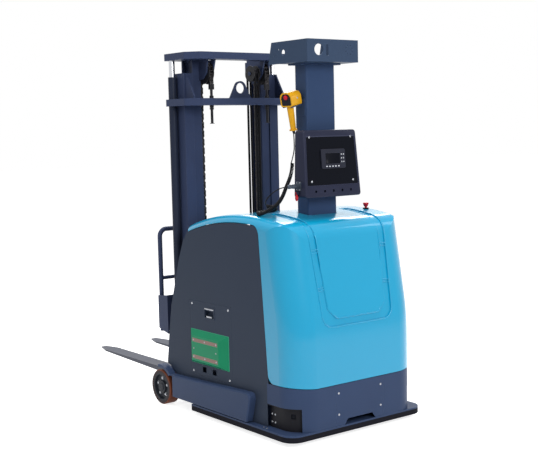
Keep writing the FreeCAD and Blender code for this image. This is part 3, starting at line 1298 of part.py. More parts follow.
# ---- small screws of the covers
def screws():
    heads = []
    out = -(body_half - 2.0)

    def dome_x(y, z):
        return turned([(0, 0), (0, 7), (-2, 6), (-3.5, 3), (-3.5, 0)], out, y, z)

    def dome_y(x, z, y):
        return turned([(0, 0), (0, 6), (-1, 5.4), (-1.8, 3), (-1.8, 0)], x, y, z, "y")
    for y, z in ((access_near + 26, access_high - 20), (access_far - 22, access_high - 20),
                 (access_near + 26, access_low + 16), (access_far - 22, access_low + 16)):
        heads.append(dome_x(y, z))
    for x in (-150, 150):
        for z in (126, 241):
            heads.append(dome_y(x, z, 2.0))
    save("cover_screws", heads)


base_plate()
hood_and_top()
side_covers()
access_panel()
charging()
skirt()
leg_covers()
chassis()
load_wheels()
drive()
power()
outer_mast()
inner_mast()
pulleys()
chains()
hoses()
carriage()
load_guard()
rollers()
top_bracket()
control_box()
panel_switch()
emergency_stop()
handset()
screws()
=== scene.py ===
import math
import bmesh
import bpy
from mathutils import Matrix, Vector


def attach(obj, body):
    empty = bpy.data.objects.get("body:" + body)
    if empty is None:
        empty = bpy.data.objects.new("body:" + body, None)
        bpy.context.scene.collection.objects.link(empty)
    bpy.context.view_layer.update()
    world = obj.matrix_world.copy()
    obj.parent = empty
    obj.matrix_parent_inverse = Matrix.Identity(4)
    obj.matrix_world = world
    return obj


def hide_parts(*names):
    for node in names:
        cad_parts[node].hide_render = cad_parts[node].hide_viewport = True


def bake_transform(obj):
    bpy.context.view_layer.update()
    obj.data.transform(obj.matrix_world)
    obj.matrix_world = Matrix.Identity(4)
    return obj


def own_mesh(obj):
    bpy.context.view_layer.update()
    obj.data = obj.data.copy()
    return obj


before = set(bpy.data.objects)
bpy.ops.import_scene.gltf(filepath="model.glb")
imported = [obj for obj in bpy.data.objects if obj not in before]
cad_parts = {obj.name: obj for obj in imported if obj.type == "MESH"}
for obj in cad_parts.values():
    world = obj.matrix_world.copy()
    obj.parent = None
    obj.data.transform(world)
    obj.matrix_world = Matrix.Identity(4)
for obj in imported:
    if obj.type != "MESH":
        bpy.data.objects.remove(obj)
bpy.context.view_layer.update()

halfLength = 1.236      # base plate edge to the middle of the footprint


def place(x, station, z):
    # metres from millimetres, stations counted from the front edge of the base plate
    return Vector((x / 1000, station / 1000 - halfLength, z / 1000))


def deselect():
    for thing in list(bpy.context.selected_objects):
        thing.select_set(False)


deselect()


# camera, a little above head height and off the left front corner
def addCamera():
    view = {"at": (-3714.865, -4099.924, 1631.370), "forward": (0.60537, 0.79011, -0.09621),
            "yaw": -0.654, "roll": -0.023, "lens": 70.375, "shiftX": -0.004745, "shiftY": -0.001074}
    forward = Vector(view["forward"]).normalized()
    right = Vector((math.cos(view["yaw"]), math.sin(view["yaw"]), 0))
    up = right.cross(forward)
    across = right * math.cos(view["roll"]) + up * math.sin(view["roll"])
    upward = up * math.cos(view["roll"]) - right * math.sin(view["roll"])
    data = bpy.data.cameras.new("camera")
    camera = bpy.data.objects.new("camera", data)
    bpy.context.collection.objects.link(camera)
    turn = Matrix((across, upward, -forward)).transposed().to_4x4()
    camera.matrix_world = Matrix.Translation(place(*view["at"])) @ turn
    data.sensor_width = 36
    data.lens = view["lens"]
    data.shift_x, data.shift_y = view["shiftX"], view["shiftY"]
    data.clip_end = 100
    bpy.context.scene.camera = camera


addCamera()
bpy.context.scene.view_settings.view_transform = "Standard"
print("camera in place")


# shader groups shared by the finishes
def newGroup(name, inputs, outputs):
    tree = bpy.data.node_groups.new(name, "ShaderNodeTree")
    for label, kind, value in inputs:
        tree.interface.new_socket(label, in_out="INPUT", socket_type=kind).default_value = value
    for label, kind in outputs:
        tree.interface.new_socket(label, in_out="OUTPUT", socket_type=kind)
    return tree, tree.nodes.new("NodeGroupInput"), tree.nodes.new("NodeGroupOutput")


def makePaintGroup():
    # fine orange peel for the bump, soft clouds for the colour, rare specks of dust
    tree, inside, outside = newGroup(
        "paintGrain",
        [("Grain", "NodeSocketFloat", 900.0), ("Depth", "NodeSocketFloat", 0.1),
         ("Cloud", "NodeSocketFloat", 5.0), ("Dust", "NodeSocketFloat", 0.1)],
        [("Clouds", "NodeSocketFloat"), ("Specks", "NodeSocketFloat"), ("Normal", "NodeSocketVector")])
    add, links = tree.nodes.new, tree.links
    coords = add("ShaderNodeTexCoord")
    peel, cloud, speck = add("ShaderNodeTexNoise"), add("ShaderNodeTexNoise"), add("ShaderNodeTexNoise")
    peel.inputs["Detail"].default_value = 2.0
    cloud.inputs["Detail"].default_value = 5.0
    speck.inputs["Scale"].default_value = 340.0
    for texture in (peel, cloud, speck):
        links.new(coords.outputs["Object"], texture.inputs["Vector"])
    links.new(inside.outputs["Grain"], peel.inputs["Scale"])
    links.new(inside.outputs["Cloud"], cloud.inputs["Scale"])
    bump = add("ShaderNodeBump")
    bump.inputs["Distance"].default_value = 0.0004
    links.new(inside.outputs["Depth"], bump.inputs["Strength"])
    links.new(peel.outputs["Fac"], bump.inputs["Height"])
    rare = add("ShaderNodeMapRange")
    rare.inputs["From Min"].default_value = 0.66
    rare.inputs["From Max"].default_value = 0.76
    links.new(speck.outputs["Fac"], rare.inputs["Value"])
    amount = add("ShaderNodeMath")
    amount.operation = "MULTIPLY"
    links.new(rare.outputs["Result"], amount.inputs[0])
    links.new(inside.outputs["Dust"], amount.inputs[1])
    links.new(cloud.outputs["Fac"], outside.inputs["Clouds"])
    links.new(amount.outputs["Value"], outside.inputs["Specks"])
    links.new(bump.outputs["Normal"], outside.inputs["Normal"])
    return tree


def makeEdgeGroup():
    # 1 on edges, 0 on flats: where edges take a lighter colour, partly wear and partly a painted highlight along the
    #                         edges
    tree, inside, outside = newGroup(
        "edgeWearAndHighlight", [("Radius", "NodeSocketFloat", 0.003), ("Amount", "NodeSocketFloat", 0.5)],
        [("Edge", "NodeSocketFloat")])
    add, links = tree.nodes.new, tree.links
    rounded, geometry, compare = add("ShaderNodeBevel"), add("ShaderNodeNewGeometry"), add("ShaderNodeVectorMath")
    rounded.samples = 4
    compare.operation = "DOT_PRODUCT"
    links.new(inside.outputs["Radius"], rounded.inputs["Radius"])
    links.new(rounded.outputs["Normal"], compare.inputs[0])
    links.new(geometry.outputs["True Normal"], compare.inputs[1])
    spread = add("ShaderNodeMapRange")
    spread.inputs["From Min"].default_value = 0.98
    spread.inputs["From Max"].default_value = 0.82
    links.new(compare.outputs["Value"], spread.inputs["Value"])
    amount = add("ShaderNodeMath")
    amount.operation = "MULTIPLY"
    links.new(spread.outputs["Result"], amount.inputs[0])
    links.new(inside.outputs["Amount"], amount.inputs[1])
    links.new(amount.outputs["Value"], outside.inputs["Edge"])
    return tree


paintGrain, edgeWearAndHighlight = makePaintGroup(), makeEdgeGroup()


def mixColor(tree, factor, first, second):
    mix = tree.nodes.new("ShaderNodeMix")
    mix.data_type = "RGBA"
    tree.links.new(factor, mix.inputs["Factor"])
    for socket, value in ((mix.inputs["A"], first), (mix.inputs["B"], second)):
        if isinstance(value, tuple):
            socket.default_value = value[:3] + (1,)
        else:
            tree.links.new(value, socket)
    return mix.outputs["Result"]


def makeFinish(name, look):
    mat = bpy.data.materials.new(name)
    mat.use_nodes = True
    tree = mat.node_tree
    shader = tree.nodes["Principled BSDF"]
    color, rough = look["color"], look["rough"]
    shader.inputs["Metallic"].default_value = look.get("metal", 0.0)
    shader.inputs["Specular IOR Level"].default_value = look.get("specular", 0.2)
    shader.inputs["Coat Weight"].default_value = look.get("coat", 0.0)
    shader.inputs["Coat Roughness"].default_value = look.get("coatRough", 0.05)
    shader.inputs["Coat IOR"].default_value = look.get("coatIor", 1.5)
    grain = tree.nodes.new("ShaderNodeGroup")
    grain.node_tree = paintGrain
    for label, key, usual in (("Grain", "grain", 900.0), ("Depth", "depth", 0.08), ("Cloud", "cloud", 5.0),
                              ("Dust", "dust", 0.05)):
        grain.inputs[label].default_value = look.get(key, usual)
    tint = look.get("tint", 0.1)
    last = mixColor(tree, grain.outputs["Clouds"], tuple(c * (1 - tint) for c in color),
                    tuple(min(1, c * (1 + tint)) for c in color))
    dustColor = tuple(min(1, c * 0.6 + 0.16) for c in color)
    last = mixColor(tree, grain.outputs["Specks"], last, dustColor)
    if look.get("edge"):
        # edges take a lighter colour: partly wear, partly a painted highlight along the edges
        edgeWearAndSheen = tree.nodes.new("ShaderNodeGroup")
        edgeWearAndSheen.node_tree = edgeWearAndHighlight
        edgeWearAndSheen.inputs["Radius"].default_value = look.get("edgeRadius", 0.003)
        edgeWearAndSheen.inputs["Amount"].default_value = look["edge"]
        last = mixColor(tree, edgeWearAndSheen.outputs["Edge"], last,
                        look.get("edgeColor", tuple(min(1, c * 1.9 + 0.025) for c in color)))
    tree.links.new(last, shader.inputs["Base Color"])
    spread = tree.nodes.new("ShaderNodeMapRange")
    vary = look.get("roughVary", 0.06)
    spread.inputs["To Min"].default_value = max(0.02, rough - vary)
    spread.inputs["To Max"].default_value = min(1, rough + vary)
    tree.links.new(grain.outputs["Clouds"], spread.inputs["Value"])
    tree.links.new(spread.outputs["Result"], shader.inputs["Roughness"])
    tree.links.new(grain.outputs["Normal"], shader.inputs["Normal"])
    return mat


# finish, its values and the CAD nodes that take it
finishTable = {
    "hoodGloss": ({"color": (0.003, 0.325, 0.560), "rough": 0.3, "tint": 0.04, "grain": 260, "depth": 0.01,
                   "cloud": 2, "coat": 1.0, "coatIor": 1.37, "coatRough": 0.06, "dust": 0.0, "specular": 0.1},
                  ["hood", "top_cover"]),
    "framePaint": ({"color": (0.036, 0.058, 0.122), "rough": 0.42, "tint": 0.1, "grain": 1400, "depth": 0.1,
                    "cloud": 6, "edge": 0.5, "specular": 0.09},
                   ["base_plate", "chassis_frame", "skirt", "service_panel", "leg_covers", "drive_unit"]),
    "sidePaint": ({"color": (0.033, 0.045, 0.072), "rough": 0.46, "tint": 0.08, "grain": 1500, "depth": 0.1,
                   "cloud": 3, "edge": 0.3, "specular": 0.07}, ["side_covers", "access_panel"]),
    "mastPaint": ({"color": (0.036, 0.050, 0.104), "rough": 0.4, "tint": 0.12, "grain": 1300, "depth": 0.1, "cloud": 5,
                   "edge": 0.5, "specular": 0.1},
                  ["outer_uprights", "mast_crossbeam", "inner_uprights", "inner_top_beam", "sheave_hangers",
                   "carriage_frame", "load_guard"]),
    "forkPaint": ({"color": (0.045, 0.052, 0.080), "rough": 0.36, "tint": 0.2, "grain": 700, "depth": 0.12, "cloud": 9,
                   "edge": 0.6, "edgeColor": (0.2, 0.21, 0.24), "specular": 0.18}, ["fork_left", "fork_right"]),
    "columnPaint": ({"color": (0.028, 0.054, 0.122), "rough": 0.38, "tint": 0.08, "grain": 1300, "depth": 0.08,
                     "cloud": 5, "edge": 0.4, "specular": 0.1}, ["column"]),
    "bracketPaint": ({"color": (0.036, 0.060, 0.110), "rough": 0.42, "tint": 0.08, "grain": 1300, "depth": 0.08,
                      "cloud": 5, "edge": 0.4, "specular": 0.09}, ["top_bracket"]),
    # the box's lighter edge colour is a painted highlight on its rims
    "boxPaint": ({"color": (0.018, 0.021, 0.044), "rough": 0.34, "tint": 0.08, "grain": 1400, "depth": 0.06,
                  "cloud": 6, "edge": 0.5, "specular": 0.12}, ["control_box"]),
    # the bright green edge colour is a painted highlight on the housing's bevels
    "greenPlastic": ({"color": (0.004, 0.240, 0.110), "rough": 0.34, "tint": 0.06, "grain": 900, "depth": 0.05,
                      "cloud": 8, "edge": 0.5, "edgeColor": (0.10, 0.55, 0.36), "specular": 0.12},
                     ["charging_housing"]),
    "copperStrip": ({"color": (0.20, 0.135, 0.115), "rough": 0.45, "metal": 0.5, "tint": 0.2, "grain": 500,
                     "depth": 0.1, "cloud": 25}, ["charging_contacts"]),
    "matBlack": ({"color": (0.012, 0.012, 0.016), "rough": 0.45, "grain": 1600, "depth": 0.15, "cloud": 8,
                  "edge": 0.2, "specular": 0.09}, ["corner_scanners", "battery", "stop_collar", "handset_face"]),
    "displayCase": ({"color": (0.020, 0.022, 0.034), "rough": 0.4, "grain": 1500, "depth": 0.1, "edge": 0.5,
                     "specular": 0.09}, ["display_unit"]),
    "panelGloss": ({"color": (0.003, 0.004, 0.008), "rough": 0.14, "tint": 0.02, "grain": 200, "depth": 0.01,
                    "dust": 0.0, "specular": 0.07}, ["control_panel"]),
    "bumperRubber": ({"color": (0.010, 0.010, 0.015), "rough": 0.7, "grain": 700, "depth": 0.25, "cloud": 9,
                      "edge": 0.3, "specular": 0.06}, ["bumper_strip"]),
    "hoseRubber": ({"color": (0.008, 0.008, 0.010), "rough": 0.5, "grain": 1800, "depth": 0.3, "cloud": 12,
                    "specular": 0.09}, []),
    "cordRubber": ({"color": (0.008, 0.008, 0.010), "rough": 0.38, "grain": 1800, "depth": 0.1, "cloud": 15,
                    "specular": 0.12}, []),
    "barrelPaint": ({"color": (0.018, 0.024, 0.044), "rough": 0.38, "depth": 0.08, "specular": 0.1},
                    ["lift_barrels", "hydraulic_unit"]),
    "zincSteel": ({"color": (0.34, 0.35, 0.38), "rough": 0.34, "metal": 0.9, "tint": 0.12, "grain": 600,
                   "depth": 0.08, "cloud": 30}, ["cover_screws"]),
    "socketMetal": ({"color": (0.07, 0.085, 0.11), "rough": 0.36, "metal": 0.6, "tint": 0.15, "grain": 600,
                     "edge": 0.5, "depth": 0.08, "cloud": 30}, ["panel_socket"]),
    "darkSteel": ({"color": (0.016, 0.016, 0.020), "rough": 0.42, "metal": 0.3, "tint": 0.2, "grain": 500,
                   "edge": 0.5, "edgeColor": (0.12, 0.12, 0.13), "depth": 0.1, "cloud": 25}, ["chain_anchors"]),
    # the chain's light grey edge colour is a painted highlight on the plate rims
    "chainSteel": ({"color": (0.012, 0.011, 0.013), "rough": 0.3, "metal": 0.5, "tint": 0.3, "grain": 400,
                    "depth": 0.15, "cloud": 60, "edge": 0.9, "edgeColor": (0.26, 0.24, 0.25), "edgeRadius": 0.0015},
                   []),
    "chromeRod": ({"color": (0.62, 0.63, 0.66), "rough": 0.12, "metal": 1.0, "tint": 0.03, "grain": 300,
                   "depth": 0.01, "dust": 0.0}, ["cylinder_rods"]),
    "sheaveSteel": ({"color": (0.020, 0.020, 0.024), "rough": 0.42, "metal": 0.4, "tint": 0.2, "grain": 500,
                     "depth": 0.1, "cloud": 25, "edge": 0.5, "edgeColor": (0.14, 0.14, 0.15)}, ["chain_sheaves"]),
    "rollerSteel": ({"color": (0.16, 0.16, 0.17), "rough": 0.34, "metal": 0.9, "tint": 0.15, "grain": 500,
                     "depth": 0.08, "cloud": 20},
                    ["upper_rollers", "mast_rollers", "carriage_rollers_low", "carriage_rollers_high"]),
    "hubPaint": ({"color": (0.020, 0.023, 0.031), "rough": 0.42, "tint": 0.2, "grain": 500, "depth": 0.12,
                  "cloud": 18, "edge": 0.5, "specular": 0.1}, ["load_hub_left", "load_hub_right"]),
    "drivePaint": ({"color": (0.05, 0.022, 0.018), "rough": 0.5, "tint": 0.18, "grain": 700, "depth": 0.15,
                    "cloud": 14}, ["drive_wheel"]),
    "yellowPlastic": ({"color": (0.72, 0.36, 0.010), "rough": 0.32, "tint": 0.06, "grain": 1300, "depth": 0.08,
                       "cloud": 10, "edge": 0.3, "edgeColor": (0.85, 0.52, 0.05)}, ["handset_body"]),
    "redPlastic": ({"color": (0.50, 0.010, 0.022), "rough": 0.24, "tint": 0.05, "grain": 900, "depth": 0.04,
                    "cloud": 12}, ["handset_button", "stop_button", "switch_lever"]),
}
finishes = {name: makeFinish(name, look) for name, (look, nodes) in finishTable.items()}


def makeTyreFinish():
    # polyurethane tread: worn orange-brown tread, dark sidewall with a lighter ring
    mat = makeFinish("tyreTread", {"color": (0.19, 0.060, 0.032), "rough": 0.5, "tint": 0.2, "grain": 700,
                                   "depth": 0.2, "cloud": 14, "specular": 0.09})
    tree = mat.node_tree
    shader = tree.nodes["Principled BSDF"]
    tread = shader.inputs["Base Color"].links[0].from_socket
    normal = tree.nodes.new("ShaderNodeNewGeometry")
    split = tree.nodes.new("ShaderNodeSeparateXYZ")
    tree.links.new(normal.outputs["True Normal"], split.inputs["Vector"])
    size = tree.nodes.new("ShaderNodeMath")
    size.operation = "ABSOLUTE"
    tree.links.new(split.outputs["X"], size.inputs[0])
    wall = tree.nodes.new("ShaderNodeMapRange")
    wall.inputs["From Min"].default_value = 0.72
    wall.inputs["From Max"].default_value = 0.90
    tree.links.new(size.outputs["Value"], wall.inputs["Value"])
    tree.links.new(mixColor(tree, wall.outputs["Result"], tread, (0.034, 0.024, 0.026)), shader.inputs["Base Color"])
    return mat


finishes["tyreTread"] = makeTyreFinish()
finishTable["tyreTread"] = ({}, ["load_tyre_left", "load_tyre_right"])
for name, (look, nodes) in finishTable.items():
    for nodeName in nodes:
        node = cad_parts[nodeName]
        for held in node.material_slots:
            held.link = "OBJECT"
            held.material = finishes[name]
        if not node.material_slots:
            node.data.materials.append(finishes[name])
print("finishes done:", len(finishes))


# curly handset cord: routes of the three runs, mm
cordValues = {
    "wire": 0.003, "curlRadius": 0.0083, "curlTurns": 84,
    "curl": [(-168, 330, 1448), (-171, 330, 1412), (-191, 326, 1365), (-219, 320, 1326), (-249, 314, 1276),
             (-285, 308, 1239), (-327, 306, 1215), (-362, 318, 1197), (-378, 350, 1185), (-364, 390, 1187),
             (-330, 411, 1188), (-292, 405, 1189), (-259, 379, 1195), (-268, 352, 1208), (-300, 345, 1219),
             (-333, 352, 1222)],
    "lowTail": [(-273.3, 243, 1327), (-298, 246, 1326), (-322, 264, 1316), (-345, 286, 1296), (-358, 314, 1268),
                (-353, 340, 1241), (-333, 352, 1230.5)],
    "highTail": [(-144.2, 342.9, 1602.8), (-145, 338, 1550), (-153, 333, 1500), (-176, 330, 1448)],
}


def smoothCurve(name, points, radius):
    data = bpy.data.curves.new(name, "CURVE")
    data.dimensions = "3D"
    spline = data.splines.new("NURBS")
    spline.points.add(len(points) - 1)
    for i, p in enumerate(points):
        spline.points[i].co = (p[0], p[1], p[2], 1)
    spline.order_u = 3
    spline.use_endpoint_u = True
    spline.resolution_u = 8
    data.bevel_depth = radius
    data.bevel_resolution = 3
    data.use_fill_caps = True
    piece = bpy.data.objects.new(name, data)
    bpy.context.collection.objects.link(piece)
    data.materials.append(finishes["cordRubber"])
    return piece


def curveMesh(curve):
    return bpy.data.meshes.new_from_object(curve.evaluated_get(bpy.context.evaluated_depsgraph_get()))


def lineOf(points):
    guide = smoothCurve("guide", points, 0.0)
    mesh = curveMesh(guide)
    found = [v.co.copy() for v in mesh.vertices]
    bpy.data.objects.remove(guide)
    bpy.data.meshes.remove(mesh)
    return found


def lengthOf(points):
    return sum((b - a).length for a, b in zip(points, points[1:]))


def evenly(points, step):
    found, left = [points[0].copy()], step
    for a, b in zip(points, points[1:]):
        run, at = (b - a).length, 0.0
        while run - at >= left:
            at += left
            found.append(a.lerp(b, at / run))
            left = step
        left -= run - at
    return found


def helixAlong(points, radius, turns, startAngle, perTurn=12):
    # the frame is carried along the line without twist
    count = turns * perTurn
    line = evenly(points, lengthOf(points) / count * 0.9999)
    side = (line[1] - line[0]).normalized().cross(Vector((0, 1, 0))).normalized()
    found = []
    for i, p in enumerate(line):
        ahead = (line[min(i + 1, len(line) - 1)] - line[max(i - 1, 0)]).normalized()
        side = (side - ahead * side.dot(ahead)).normalized()
        angle = startAngle + 2 * math.pi * i / perTurn
        found.append(p + side * radius * math.cos(angle) + ahead.cross(side) * radius * math.sin(angle))
    return found


def handsetCord():
    curlRoute, lowRoute, highRoute = [[place(*p) for p in cordValues[key]] for key in ("curl", "lowTail", "highTail")]
    helix = helixAlong(lineOf(curlRoute), cordValues["curlRadius"], cordValues["curlTurns"], math.pi)
    curl = smoothCurve("curlyCord", helix, cordValues["wire"])
    curl.data.bevel_resolution = 2
    curl.data.splines[0].resolution_u = 2
    lowTail = smoothCurve("lowerCordTail", lowRoute, cordValues["wire"])
    highCurve = smoothCurve("upperTailCurve", highRoute, cordValues["wire"])
    highTail = bpy.data.objects.new("upperCordTail", curveMesh(highCurve))
    bpy.context.collection.objects.link(highTail)
    bpy.data.objects.remove(highCurve)
    for piece, node in ((curl, "curly_cord"), (lowTail, "lower_cord_tail"), (highTail, "upper_cord_tail")):
        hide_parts(node)
    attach(curl, "chassis")
    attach(lowTail, "chassis")
    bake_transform(highTail)
    [tuple(p) for p in lineOf(highRoute)]


handsetCord()
print("handset cord done")


# modelling helpers
def started(name):
    piece = bpy.context.object
    piece.name = piece.data.name = name
    return piece


def choose(pieces):
    # only these selected, the first one active
    deselect()
    for piece in pieces:
        piece.select_set(True)
    bpy.context.view_layer.objects.active = pieces[0]


def joined(pieces, name):
    choose(pieces)
    bpy.ops.object.join()
    return started(name)


def editWhere(piece, wanted, kind="FACE"):
    # edit mode with only the faces, edges or vertices that pass the test selected
    choose([piece])
    bpy.ops.object.mode_set(mode="EDIT")
    bpy.ops.mesh.select_mode(type=kind)
    bpy.ops.mesh.select_all(action="DESELECT")
    mesh = bmesh.from_edit_mesh(piece.data)
    mesh.normal_update()
    for part in {"FACE": mesh.faces, "EDGE": mesh.edges, "VERT": mesh.verts}[kind]:
        part.select_set(wanted(part))
    mesh.select_flush_mode()
    bmesh.update_edit_mesh(piece.data)


def leaveEdit():
    bpy.ops.object.mode_set(mode="OBJECT")


def applyPlace(piece):
    choose([piece])
    bpy.ops.object.transform_apply(location=True, rotation=True, scale=True)


def copiesOf(source, spots, name):
    # one copy with its own mesh at each spot, a place or a matrix, joined as one piece
    made = []
    for spot in spots:
        copy = source.copy()
        copy.data = source.data.copy()
        bpy.context.collection.objects.link(copy)
        copy.matrix_world = spot if isinstance(spot, Matrix) else Matrix.Translation(spot)
        made.append(copy)
    piece = joined(made, name)
    applyPlace(piece)
    return piece


def finishPiece(piece, finish, body, angle=40):
    applyPlace(piece)
    bpy.ops.object.shade_smooth_by_angle(angle=math.radians(angle))
    piece.data.materials.clear()
    piece.data.materials.append(finishes[finish])
    if body:
        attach(piece, body)
    return piece


def discard(piece):
    data = piece.data
    bpy.data.objects.remove(piece)
    bpy.data.meshes.remove(data)


def facing(at, outward, spin=0.0):
    # matrix that puts a piece modelled towards +Z at a place, towards a direction
    return (Matrix.Translation(at) @ Vector(outward).to_track_quat("Z", "Y").to_matrix().to_4x4()
            @ Matrix.Rotation(spin, 4, "Z"))


# screws, modelled once at the origin with the head towards +Z
def socketScrew(name, radius, high, socket):
    bpy.ops.mesh.primitive_cylinder_add(vertices=18, radius=radius, depth=high, location=(0, 0, high / 2))
    screw = started(name)
    editWhere(screw, lambda f: f.normal.z > 0.9)
    bpy.ops.mesh.inset(thickness=radius * 0.16, depth=high * 0.16)
    bpy.ops.mesh.inset(thickness=radius * 0.84 - socket, depth=0)
    bpy.ops.mesh.inset(thickness=radius * 0.04, depth=-high * 0.7)
    leaveEdit()
    return screw


def domeScrew(name, radius, high):
    bpy.ops.mesh.primitive_cylinder_add(vertices=16, radius=radius, depth=high * 0.3, location=(0, 0, high * 0.15))
    screw = started(name)
    editWhere(screw, lambda f: f.normal.z > 0.9)
    bpy.ops.mesh.inset(thickness=radius * 0.18, depth=high * 0.4)
    bpy.ops.mesh.inset(thickness=radius * 0.35, depth=high * 0.3)
    bpy.ops.mesh.inset(thickness=radius * 0.12, depth=-high * 0.35)
    leaveEdit()
    return screw


def hexBolt(name, across, high):
    bpy.ops.mesh.primitive_cylinder_add(vertices=24, radius=across * 0.72, depth=high * 0.2,
                                        location=(0, 0, high * 0.1))
    washer = started(name)
    bpy.ops.mesh.primitive_cylinder_add(vertices=6, radius=across / math.sqrt(3), depth=high * 0.8,
                                        location=(0, 0, high * 0.6))
    head = started(name + "Head")
    editWhere(head, lambda f: f.normal.z > 0.9)
    bpy.ops.mesh.bevel(offset=across * 0.06, segments=2)
    leaveEdit()
    return joined([washer, head], name)


# fasteners: radius and height in metres, places in mm
fasteners = {
    "panelScrews": {"kind": "dome", "size": (0.0062, 0.0030), "out": (0, -1, 0.0778),
                    "spots": [(-146, 211.7, 1585), (146, 211.7, 1585), (-146, 193.3, 1349), (146, 193.3, 1349)]},
    "socketScrews": {"kind": "socket", "size": (0.0034, 0.0030), "out": (-1, 0, 0),
                     "spots": [(-200.9, y, z) for y in (230, 256) for z in (1308.5, 1345.5)]},
    "scannerScrewsLeft": {"kind": "dome", "size": (0.0062, 0.0034), "out": (-1, 0, 0),
                          "spots": [(-417.8, y, z) for y in (206, 232) for z in (92, 135)]},
    "scannerScrewsRight": {"kind": "dome", "size": (0.0062, 0.0034), "out": (1, 0, 0),
                           "spots": [(417.8, y, z) for y in (206, 232) for z in (92, 135)]},
    "plateScrews": {"kind": "socket", "size": (0.0060, 0.0036), "out": (0, 0, 1),
                    "spots": [(x, y, 63.9) for x in (-458, 458) for y in (228, 254)]},
    "contactScrews": {"kind": "dome", "size": (0.0050, 0.0026), "out": (-1, 0, 0),
                      "spots": [(-460.4, y, z) for y in (682, 795, 908) for z in (343.0, 440.0)]},
    "housingScrews": {"kind": "socket", "size": (0.0045, 0.0024), "out": (-1, 0, 0),
                      "spots": [(-459.9, y, 391.5) for y in (684, 906)]},
}


def addFasteners():
    for name, values in fasteners.items():
        radius, high = values["size"]
        source = (domeScrew("screw", radius, high) if values["kind"] == "dome"
                  else socketScrew("screw", radius, high, radius * 0.5))
        spots = [facing(place(*p), values["out"], 0.4 * i) for i, p in enumerate(values["spots"])]
        piece = copiesOf(source, spots, name)
        discard(source)
        finishPiece(piece, "zincSteel", "chassis")


addFasteners()
print("fasteners done")


def addHubBolts():
    values = {"across": 0.0142, "high": 0.0072, "circle": 52.0, "station": 1248.0, "z": 105.0, "face": 466.0}
    source = hexBolt("hubBolt", values["across"], values["high"])
    for side, word in ((-1, "left"), (1, "right")):
        spots = []
        for k in range(5):
            angle = math.radians(90 + 72 * k)
            at = place(side * (values["face"] - 0.2), values["station"] + values["circle"] * math.cos(angle),
                       values["z"] + values["circle"] * math.sin(angle))
            spots.append(facing(at, (side, 0, 0), angle))
        finishPiece(copiesOf(source, spots, "hubBolts_" + word), "zincSteel", "load_wheel_" + word)
    discard(source)


addHubBolts()


# scanner window in each corner inset
def addScannerLenses():
    values = {"half": 0.0128, "depth": 0.010, "angle": 33.0, "centre": (295.0, 145.0), "radius": 119.0, "z": 144.0}
    bpy.ops.mesh.primitive_cube_add(size=1, location=(0, 0, 0))
    source = started("scannerLens")
    source.scale = (values["half"] * 2, values["half"] * 2, values["depth"])
    applyPlace(source)
    editWhere(source, lambda f: f.normal.z > 0.9)
    bpy.ops.mesh.inset(thickness=0.0030, depth=0)
    bpy.ops.mesh.inset(thickness=0.0012, depth=-0.0030)
    bpy.ops.mesh.inset(thickness=0.0030, depth=0.0016)
    leaveEdit()
    angle = math.radians(values["angle"])
    spots = []
    for side in (-1, 1):
        out = Vector((side * math.cos(angle), -math.sin(angle), 0))
        at = place(side * values["centre"][0], values["centre"][1], values["z"]) + out * values["radius"] / 1000
        spots.append(facing(at, out))
    finishPiece(copiesOf(source, spots, "scannerLenses"), "panelGloss", "chassis")
    discard(source)


addScannerLenses()


# display: glass in its recess and the caps over its keys
def addDisplayParts():
    values = {"z": 1467.0, "face": 193.25, "tilt": math.atan(0.0778)}

    def onDisplay(x, up, proud):
        # point on the tilted display face, mm across, up and out of it
        lean = values["tilt"]
        return place(x, values["face"] + up * math.sin(lean) - proud * math.cos(lean) + 2.45,
                     values["z"] + up * math.cos(lean) + proud * math.sin(lean))

    out = (0, -math.cos(values["tilt"]), math.sin(values["tilt"]))
    bpy.ops.mesh.primitive_cube_add(size=1)
    glass = started("displayGlass")
    glass.scale = (0.1010, 0.0560, 0.0010)
    applyPlace(glass)
    editWhere(glass, lambda f: f.normal.z > 0.9)
    bpy.ops.mesh.inset(thickness=0.0040, depth=0)
    bpy.ops.mesh.inset(thickness=0.0006, depth=-0.0003)
    leaveEdit()
    glass.matrix_world = facing(onDisplay(5, 1.5, -0.9), out)
    finishPiece(glass, "panelGloss", "chassis")
    bpy.ops.mesh.primitive_cube_add(size=1, location=(0, 0, 0.0004))
    cap = started("keyCap")
    cap.scale = (0.0108, 0.0064, 0.0012)
    applyPlace(cap)
    editWhere(cap, lambda f: abs(f.normal.z) < 0.5)
    bpy.ops.mesh.bevel(offset=0.0012, segments=2)
    leaveEdit()
    spots = [facing(onDisplay(-42 + 21 * k, -40.5, 1.3), out) for k in range(5)]
    finishPiece(copiesOf(cap, spots, "softKeyCaps"), "keyWhite", "chassis")
    discard(cap)
    roundCap = domeScrew("roundCap", 0.0036, 0.0016)
    spots = [facing(onDisplay(x, 22 - 20 * k, 1.2), out) for x in (66, 80) for k in range(3)]
    finishPiece(copiesOf(roundCap, spots, "roundKeyCaps"), "keyWhite", "chassis")
    discard(roundCap)


finishes["keyWhite"] = makeFinish("keyWhite", {"color": (0.55, 0.57, 0.62), "rough": 0.4, "grain": 1500,
                                               "depth": 0.05, "cloud": 40})
addDisplayParts()


# screw on the side of the handset head
def addHandsetScrew():
    values = {"at": (-203.0, 330.0, 1785.0), "turn": 12.0, "tilt": -11.0, "local": (50.0, -39.0, 2.0)}
    turn = (Matrix.Rotation(math.radians(values["turn"]), 4, "Z")
            @ Matrix.Rotation(math.radians(values["tilt"]), 4, "Y"))
    at = place(*values["at"]) + (turn @ Vector(values["local"])) / 1000
    screw = domeScrew("handsetScrew", 0.0056, 0.0026)
    screw.matrix_world = facing(at, turn @ Vector((0, -1, 0)))
    finishPiece(screw, "zincSteel", "handset")


addHandsetScrew()


